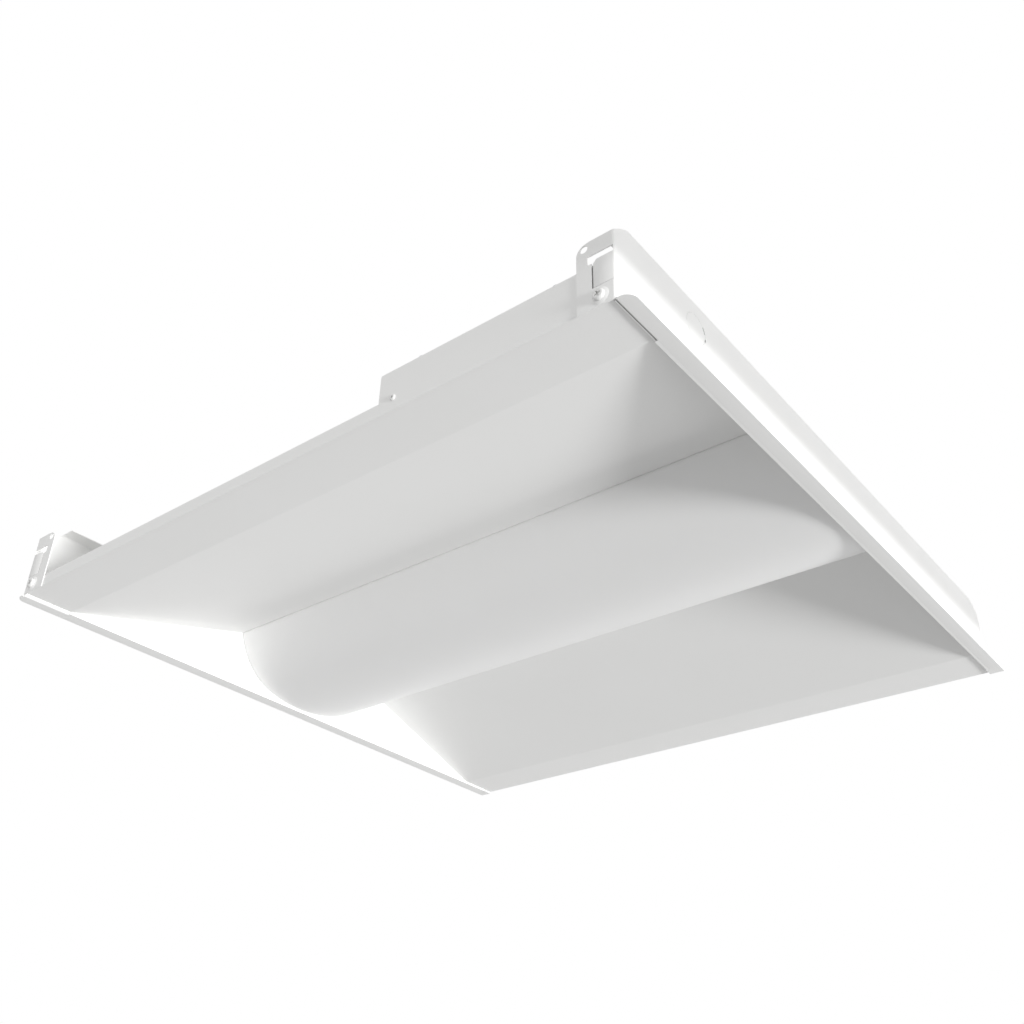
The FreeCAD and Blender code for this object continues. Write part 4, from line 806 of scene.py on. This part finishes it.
def plate_flap(end, side):
    """The flap round one corner, with its clip opening, hanger hole and raised screw seat."""
    outer = half if side < 0 else right_fold
    start = plate_left if side < 0 else plate_right
    foot = gauge if side < 0 else band_level + gauge + 0.1
    line = [(start, plate_mid * end), ((outer - sheet_mid) * side, plate_mid * end)]
    line.append(((outer - sheet_mid) * side, flap_free * end))
    flap = fold_sheet("flap", "Z", foot, plate_top - 2.0, line, {1: 1.2})
    slope_corner(flap, side, outer * side)
    corner = ((flap_free + flap_corner) * end, flap_top - flap_corner)
    angles = (12, 82) if end < 0 else (98, 168)
    round_corner(flap, "X", corner, flap_corner, *angles)
    thicken(flap)
    low, high = sorted(((outer - 2.0) * side, (outer + 1.0) * side))
    cutters = []
    for depth, foot_z, top_z in ((clip_depth, *clip_opening), (head_depth, *head_opening)):
        near, far = sorted(((plate_mid - sheet_mid) * end, (plate_mid - depth) * end))
        cutters.append(block((low, near, foot_z), (high, far, top_z)))
    hanger = (low, (flap_free + hanger_inset) * end, flap_top - hanger_drop)
    cut_out(flap, *cutters, rod(hanger, (1, 0, 0), hanger_radius, 4.0))
    seat_at = ((outer - 0.2) * side, (plate_mid - seat_inset) * end, seat_level)
    seat = rod(seat_at, (side, 0, 0), seat_radius, 1.0, seat_top_radius, 48)
    if side > 0:
        snip(seat, (0, 0, foot), (0, 0, -1), fill=True)
    return join([flap, seat])


def ring_cutter(centre, radius, width, begin, end):
    """A piece of a ring through the plate, spun from a small face; angles in degrees."""
    bpy.ops.object.select_all(action="DESELECT")
    bpy.ops.mesh.primitive_plane_add(size=MM, location=(centre + Vector((radius, 0, 0))) * MM)
    cutter = bpy.context.object
    bpy.ops.object.mode_set(mode="EDIT")
    bpy.ops.transform.resize(value=(width, 3.0, 1.0))
    turn = {"orient_axis": "Y", "center_override": centre * MM}
    bpy.ops.transform.rotate(value=math.radians(begin), **turn)
    steps = max(2, round((end - begin) / 6))
    sweep = math.radians(end - begin)
    bpy.ops.mesh.spin(steps=steps, angle=-sweep, center=centre * MM, axis=(0, 1, 0))
    bpy.ops.mesh.select_all(action="SELECT")
    bpy.ops.mesh.normals_make_consistent(inside=False)
    bpy.ops.object.mode_set(mode="OBJECT")
    return settle(cutter)


def knockout_cutters(end):
    """The knockout is sheared almost shut: a fine ring with four ties, and two wider places."""
    centre = Vector((-half + knockout_inset, plate_mid * end, plate_top - knockout_drop))
    arcs = [(ring_width, 90 * turn + 7, 90 * turn + 83) for turn in range(4)]
    arcs += [(open_width, 39, 65), (open_width, -8, 6)]
    return [ring_cutter(centre, knockout_radius, *place) for place in arcs]


def end_plate(end):
    """Flange, upright and rolled top in one sheet, with the corner strip, seam and flaps."""
    flange = [(half, sheet_mid), (plate_mid, sheet_mid)]
    line = [(y * end, z) for y, z in flange + [(plate_mid, top_mid), (lip_edge, top_mid)]]
    sheet = fold_sheet("plate", "X", plate_left, plate_right, line, {1: 1.0, 2: roll_mid})

    def is_flange_end(at):
        return at.z < gauge and abs(at.y) > plate_mid + 0.9 and at.x < plate_left + 0.1

    extend(sheet, is_flange_end, (-half - plate_left, 0, 0))
    slope_corner(sheet, -1, -half)
    slope_corner(sheet, 1, right_fold)
    corner = (-half + flange_corner, (half - flange_corner) * end)
    round_corner(sheet, "Z", corner, flange_corner, 180 * end - 4 * end, 94 * end, 9)
    thicken(sheet)
    cut_out(sheet, *knockout_cutters(end))
    corner_line = [(half * end, sheet_mid), ((end_foot - 1.0) * end, sheet_mid)]
    corner_flange = fold_sheet("corner flange", "X", plate_right, half, corner_line)
    seam_line = [((plate_mid + 0.9) * end, sheet_mid), ((end_foot - 0.6) * end, sheet_mid)]
    seam = fold_sheet("paint seam", "X", -band_inner, plate_right, seam_line)
    thicken(corner_flange)
    thicken(seam, gauge - 0.1)
    return join([sheet, corner_flange, seam, plate_flap(end, -1), plate_flap(end, 1)])


for end, name in ((-1, "end_plate_near"), (1, "end_plate_far")):
    stand_in(end_plate(end), name)

# %% [markdown]
# A grid clip is a tab of the flap's own sheet with one cut corner. It bends out over the ceiling
# grid about its foot, so it is a piece of its own here.

# %% Grid clips
clip_grow = 0.15
clip_corner = 2.5


def soften(thing, width, limit=30):
    """Round the edges of a piece where its faces turn by more than a limit in degrees."""
    alone(thing)
    edge = thing.modifiers.new("edge", "BEVEL")
    edge.width = width * MM
    edge.segments = 2
    edge.limit_method = "ANGLE"
    edge.angle_limit = math.radians(limit)
    bpy.ops.object.modifier_apply(modifier=edge.name)


for end_name, end in (("near", -1), ("far", 1)):
    for side_name in ("left", "right"):
        node = f"grid_clip_{end_name}_{side_name}"
        low, high = (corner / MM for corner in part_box(node))
        low, high = Vector(low), Vector(high)
        clip = block(low - Vector((0, clip_grow, 0.25)), high + Vector((0, clip_grow, 0)))
        inner = (high.y + clip_grow) if end < 0 else (low.y - clip_grow)
        bpy.ops.object.mode_set(mode="EDIT")
        pick(clip, lambda at: abs(at.y - inner) < 0.05 and abs(at.z - high.z) < 0.05)
        bpy.ops.mesh.bevel(offset=clip_corner * MM, segments=1, affect="EDGES")
        bpy.ops.object.mode_set(mode="OBJECT")
        soften(clip, 0.12)
        stand_in(clip, node)

# %% [markdown]
# Every screw here is a pan head with a cross recess. The head starts as a short cylinder, its top
# edge is rounded with a bevel, and two bars and a small cone cut the recess. One screw of each
# size is made at the origin, then copied to where the CAD screws stand.

# %% Screws


def pan_screw(head, rise, shank, length):
    """A screw that stands on its seat at the origin, head upwards."""
    depth = rise * 0.62
    cap = rod((0, 0, 0), (0, 0, 1), head, rise, sides=40)
    bevel_top(cap, rise, depth, 5)
    arm, width = head * 0.52, head * 0.13
    bars = []
    for x, y in ((arm, width), (width, arm)):
        bars.append(block((-x, -y, rise - depth), (x, y, rise + 0.5)))
    cone = rod((0, 0, rise - depth * 1.15), (0, 0, 1), width * 0.6, depth * 1.3, head * 0.3, 16)
    cut_out(cap, *bars, cone)
    return join([cap, rod((0, 0, -length), (0, 0, 1), shank, length, sides=24)])


def set_screws(node, outward, head, rise, shank, length, finish=None):
    """Copy one screw to each solid of a CAD node; outward tells which way its head faces."""
    model = pan_screw(head, rise, shank, length)
    copies = []
    for low, high in islands(node):
        middle = (low + high) / 2
        facing = Vector(outward(middle))
        reach = Vector(tuple(abs(part) for part in (high - low) / 2))
        tip = middle + Vector(tuple(f * r for f, r in zip(facing, reach)))
        seat = tip - facing * rise
        turn = facing.to_track_quat("Z", "Y").to_matrix().to_4x4()
        spin = Matrix.Rotation(math.radians(20), 4, "Z")
        copies.append(copy_by(model, Matrix.Translation(seat * MM) @ turn @ spin))
    bpy.data.objects.remove(model)
    stand_in(join(copies), node, finish, 35)


def sideways(middle):
    return (math.copysign(1, middle.x), 0, 0)


def downwards(middle):
    return (0, 0, -1)


def upwards(middle):
    return (0, 0, 1)


set_screws("corner_screws", sideways, 4.0, 2.0, 2.0, 9.0)
for node, outward, length in (
    ("leg_screws", sideways, 1.4),
    ("lap_screws", downwards, 2.1),
    ("board_screws", downwards, 1.9),
    ("lid_screws", upwards, 4.0),
    ("driver_screws", upwards, 4.0),
    ("earth_screw", upwards, 4.0),
):
    set_screws(node, outward, 3.2, 1.6, 1.5, length)
set_screws("wiring_end_screw", sideways, 2.2, 1.2, 1.5, 4.0, screw_paint)

# %% [markdown]
# The light channel closes the top between the cusps. Its legs stop where the end reflectors lean
# in, and its top runs on under the end plates' lips.

# %% Light channel
leg_mid = channel_half - sheet_mid
channel_mid = span("light_channel", "Z")[1] - sheet_mid
leg_foot = span("light_channel", "Z")[0]
leg_end = end_face(plate_top) - play
line = [(-leg_mid, leg_foot), (-leg_mid, channel_mid), (leg_mid, channel_mid), (leg_mid, leg_foot)]
channel = fold_sheet("channel", "Y", -leg_end, leg_end, line, {1: 1.0, 2: 1.0})
run_on = span("light_channel", "Y")[1] - leg_end
for end in (-1, 1):
    extend(
        channel,
        lambda at: at.z > channel_mid - 0.01 and at.y * end > leg_end - 0.01,
        (0, run_on * end, 0),
    )
thicken(channel)
stand_in(channel, "light_channel")

# %% [markdown]
# The lid of the wiring box is one sheet too: a foot on the side wall, a slope, a flat top with the
# supply entry, an inner wall and a foot on the sloping panel.

# %% Wiring lid
lid_tread, lid_foot_inset, lid_slope_run = 10.0, 11.6, 24.0
entry_radius = 11.1
lid_low, lid_high = (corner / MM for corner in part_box("wiring_lid"))
inner_wall = lid_high.x - lid_tread - sheet_mid
foot_level = high_wall_top + sheet_mid
top_level = lid_high.z - sheet_mid
lift = play + sheet_mid + panel_rise / 2
line = [
    (lid_low.x, foot_level),
    (-half + lid_foot_inset, foot_level),
    (-half + lid_foot_inset + lid_slope_run, top_level),
    (inner_wall, top_level),
    (inner_wall, panel_level(-inner_wall) + lift),
    (lid_high.x, panel_level(-lid_high.x) + lift),
]
lid_bends = {1: 1.0, 2: 1.2, 3: 1.2, 4: 1.0}
lid = fold_sheet("lid", "Y", lid_low.y, lid_high.y, line, lid_bends)
thicken(lid)
bushing_low, bushing_high = (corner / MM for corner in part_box("supply_bushing"))
entry = (bushing_low + bushing_high) / 2
hole = rod((entry.x, entry.y, top_level - 3.0), (0, 0, 1), entry_radius, 6.0, sides=48)
cut_out(lid, hole)
stand_in(lid, "wiring_lid")

# %% [markdown]
# The supply bushing snaps into the entry: a flat rim with a rounded edge, a barrel, and a bore
# with a wide mouth so that a lead doesn't chafe.

# %% Supply bushing
rim_radius, barrel_radius, bore_radius, mouth_radius = 13.5, 11.0, 8.0, 9.4
rim_height, barrel_length = 1.6, 7.2


def in_entry(level, radius, length, top_radius=None):
    """An upright rod or cone on the axis of the supply entry."""
    return rod((entry.x, entry.y, level), (0, 0, 1), radius, length, top_radius, 48)


rim_level = bushing_high.z
barrel = in_entry(bushing_low.z, barrel_radius, barrel_length)
rim = in_entry(rim_level - rim_height, rim_radius, rim_height)
bevel_top(rim, rim_level, 0.7, 4)
combine(rim, barrel, "UNION")
bore = in_entry(bushing_low.z - 1, bore_radius, 11.0)
mouth = in_entry(rim_level - 1.4, bore_radius, 1.5, mouth_radius)
cut_out(rim, bore, mouth)
stand_in(rim, "supply_bushing")

# %% [markdown]
# The remaining small parts keep the shape of their CAD solids, with what a moulded or folded part
# has in addition: rounded edges. A copy of the CAD mesh is merged, its flat faces are joined, and
# a bevel rounds every edge that is sharp.

# %% Rounded copies


def rounded_copy(node, width, finish=None):
    """A copy of a CAD node with its sharp edges rounded, in the node's place."""
    thing = copy_by(nodes[node], Matrix.Identity(4))
    thing.parent = None
    for key in list(thing.keys()):
        del thing[key]
    alone(thing)
    bpy.ops.object.mode_set(mode="EDIT")
    bpy.ops.mesh.select_all(action="SELECT")
    bpy.ops.mesh.remove_doubles(threshold=0.002 * MM)
    bpy.ops.mesh.dissolve_limited(angle_limit=math.radians(1))
    bpy.ops.object.mode_set(mode="OBJECT")
    soften(thing, width, 50)
    stand_in(thing, node, finish, 40)


for node, width in (
    ("light_board_left", 0.2),
    ("light_board_right", 0.2),
    ("emitters_left", 0.2),
    ("emitters_right", 0.2),
    ("board_connectors", 0.5),
    ("lens_springs", 0.12),
    ("driver_case", 0.25),
    ("driver_lid", 0.3),
    ("driver_circuit", 0.15),
    ("driver_transformer", 1.0),
    ("driver_capacitors", 0.6),
    ("driver_terminals", 0.4),
    ("disconnect_socket", 0.4),
    ("disconnect_plug", 0.4),
):
    rounded_copy(node, width)
rounded_copy("driver_tray", 0.2, finish=zinc_sheet)
rounded_copy("wiring_header", 0.15)
rounded_copy("wiring_end", 0.15)

# %% [markdown]
# The leads stay as the CAD model has them: round tubes with tangent bends. They only need smooth
# shading.

# %% Leads
for node in ("board_leads", "board_jumpers", "supply_leads"):
    shade(nodes[node], 40)

# %% [markdown]
# The photograph was taken from below and from the left, with a normal lens. The camera's place and
# turn were worked out from the light's own corners and straight edges.

# %% Camera
eye = Vector((-0.6915, -0.5394, -0.4308))
right = Vector((0.6194, -0.7847, 0.0224))
ahead = Vector((0.6553, 0.5325, 0.5358))
up = right.cross(ahead)
camera = bpy.data.objects.new("camera", bpy.data.cameras.new("camera"))
bpy.context.scene.collection.objects.link(camera)
turn = Matrix((right, up, -ahead)).transposed().to_4x4()
camera.matrix_world = Matrix.Translation(eye) @ turn
camera.data.lens = 39.84
camera.data.sensor_width = 36
camera.data.clip_start = 0.01
bpy.context.scene.camera = camera
print("camera at", tuple(eye), "lens", camera.data.lens)

# %% [markdown]
# The light on the object is that of a plain white studio. The surroundings are bright above and
# less so near the ground, and a little brighter on the near side and on the side where the wiring
# box is. The camera sees them as plain white, and so does anything glossy or clear.

# %% Surroundings
world = bpy.data.worlds.new("studio")
bpy.context.scene.world = world
world.use_nodes = True
world.node_tree.nodes.clear()
sky = Shading(world.node_tree)
toward = sky.add("ShaderNodeTexCoord", {}, output="Generated")
split = sky.add("ShaderNodeSeparateXYZ", {}, toward)
across, along, height = (Value(sky, split.socket.node.outputs[axis]) for axis in "XYZ")
ramp = {"From_Min": -0.35, "From_Max": 0.15, "To_Min": 0.5, "To_Max": 0.95}
strength = sky.add("ShaderNodeMapRange", {}, height, **ramp)
strength = strength * (across * -0.14 + along * -0.12 + 1.0)
path = sky.add("ShaderNodeLightPath", {}, output="Is Camera Ray")
rays = path.socket.node.outputs
glossy, clear = (Value(sky, rays[f"Is {kind} Ray"]) for kind in ("Glossy", "Transmission"))
seen = path.math("MAXIMUM", glossy).math("MAXIMUM", clear)
lit = sky.add("ShaderNodeBackground", {}, Strength=strength)
plain = sky.add("ShaderNodeBackground", {}, (1, 1, 1, 1), 1.0)
both = sky.add("ShaderNodeMixShader", {}, seen, lit, plain)
sky.links.new(both.socket, sky.nodes.new("ShaderNodeOutputWorld").inputs["Surface"])
print("surroundings made of", len(sky.nodes), "nodes")

# %% [markdown]
# A pale floor lies well below the object and throws soft light back up into the recess.

# %% Floor
floor_size, floor_level = 6.0, -1.3
bpy.ops.mesh.primitive_plane_add(size=floor_size, location=(0, 0, floor_level))
floor = bpy.context.object
floor.name = "floor"
floor_paint = Finish("pale floor", roughness=0.8)
drift = floor_paint.noise(3.0)
floor_paint.feed("Base Color", floor_paint.mix(drift, (0.56, 0.56, 0.56), (0.59, 0.59, 0.59)))
floor.data.materials.append(floor_paint.material)
print("floor at z", floor.location.z)

# %% [markdown]
# The key light comes from the near side, from a little below the horizon, and has soft edges. It
# reaches the near end plate, the far end reflector and, at a grazing angle, the panels. A weaker
# and much softer fill light comes from the right, also from below, so that the left panel is
# lighter than its band and darker close to the lens. A scrim before the top of the near end plate
# keeps the rolled edge a shade darker than the white behind it.

# %% Lamps and scrim


def far_lamp(name, strength, softness, beam):
    """A distant lamp that shines along a beam; softness is how wide it looks, in degrees."""
    lamp = bpy.data.objects.new(name, bpy.data.lights.new(name, "SUN"))
    bpy.context.scene.collection.objects.link(lamp)
    lamp.data.energy = strength
    lamp.data.angle = math.radians(softness)
    lamp.rotation_euler = Vector(beam).to_track_quat("-Z", "Y").to_euler()
    print(name, "shines along", beam)


far_lamp("key light", 3.0, 12, (0.09, 0.96, 0.26))
far_lamp("fill light", 1.2, 30, (-0.91, 0.3, 0.27))
scrim_reach, scrim_y, scrim_foot, scrim_top = 420, -378, 12, 140
scrim = block((-scrim_reach, scrim_y - 1, scrim_foot), (scrim_reach, scrim_y + 1, scrim_top))
scrim.name = "scrim"
gauze = Finish("scrim", roughness=0.9)
gauze.feed("Alpha", 0.47 + gauze.noise(30.0) * 0.06)
scrim.data.materials.append(gauze.material)
scrim.visible_camera = False
scrim.visible_glossy = False
print("scrim at y", round(scrim.data.vertices[0].co.y, 3))

# %% Colour and the last line
bpy.context.scene.view_settings.view_transform = "Standard"
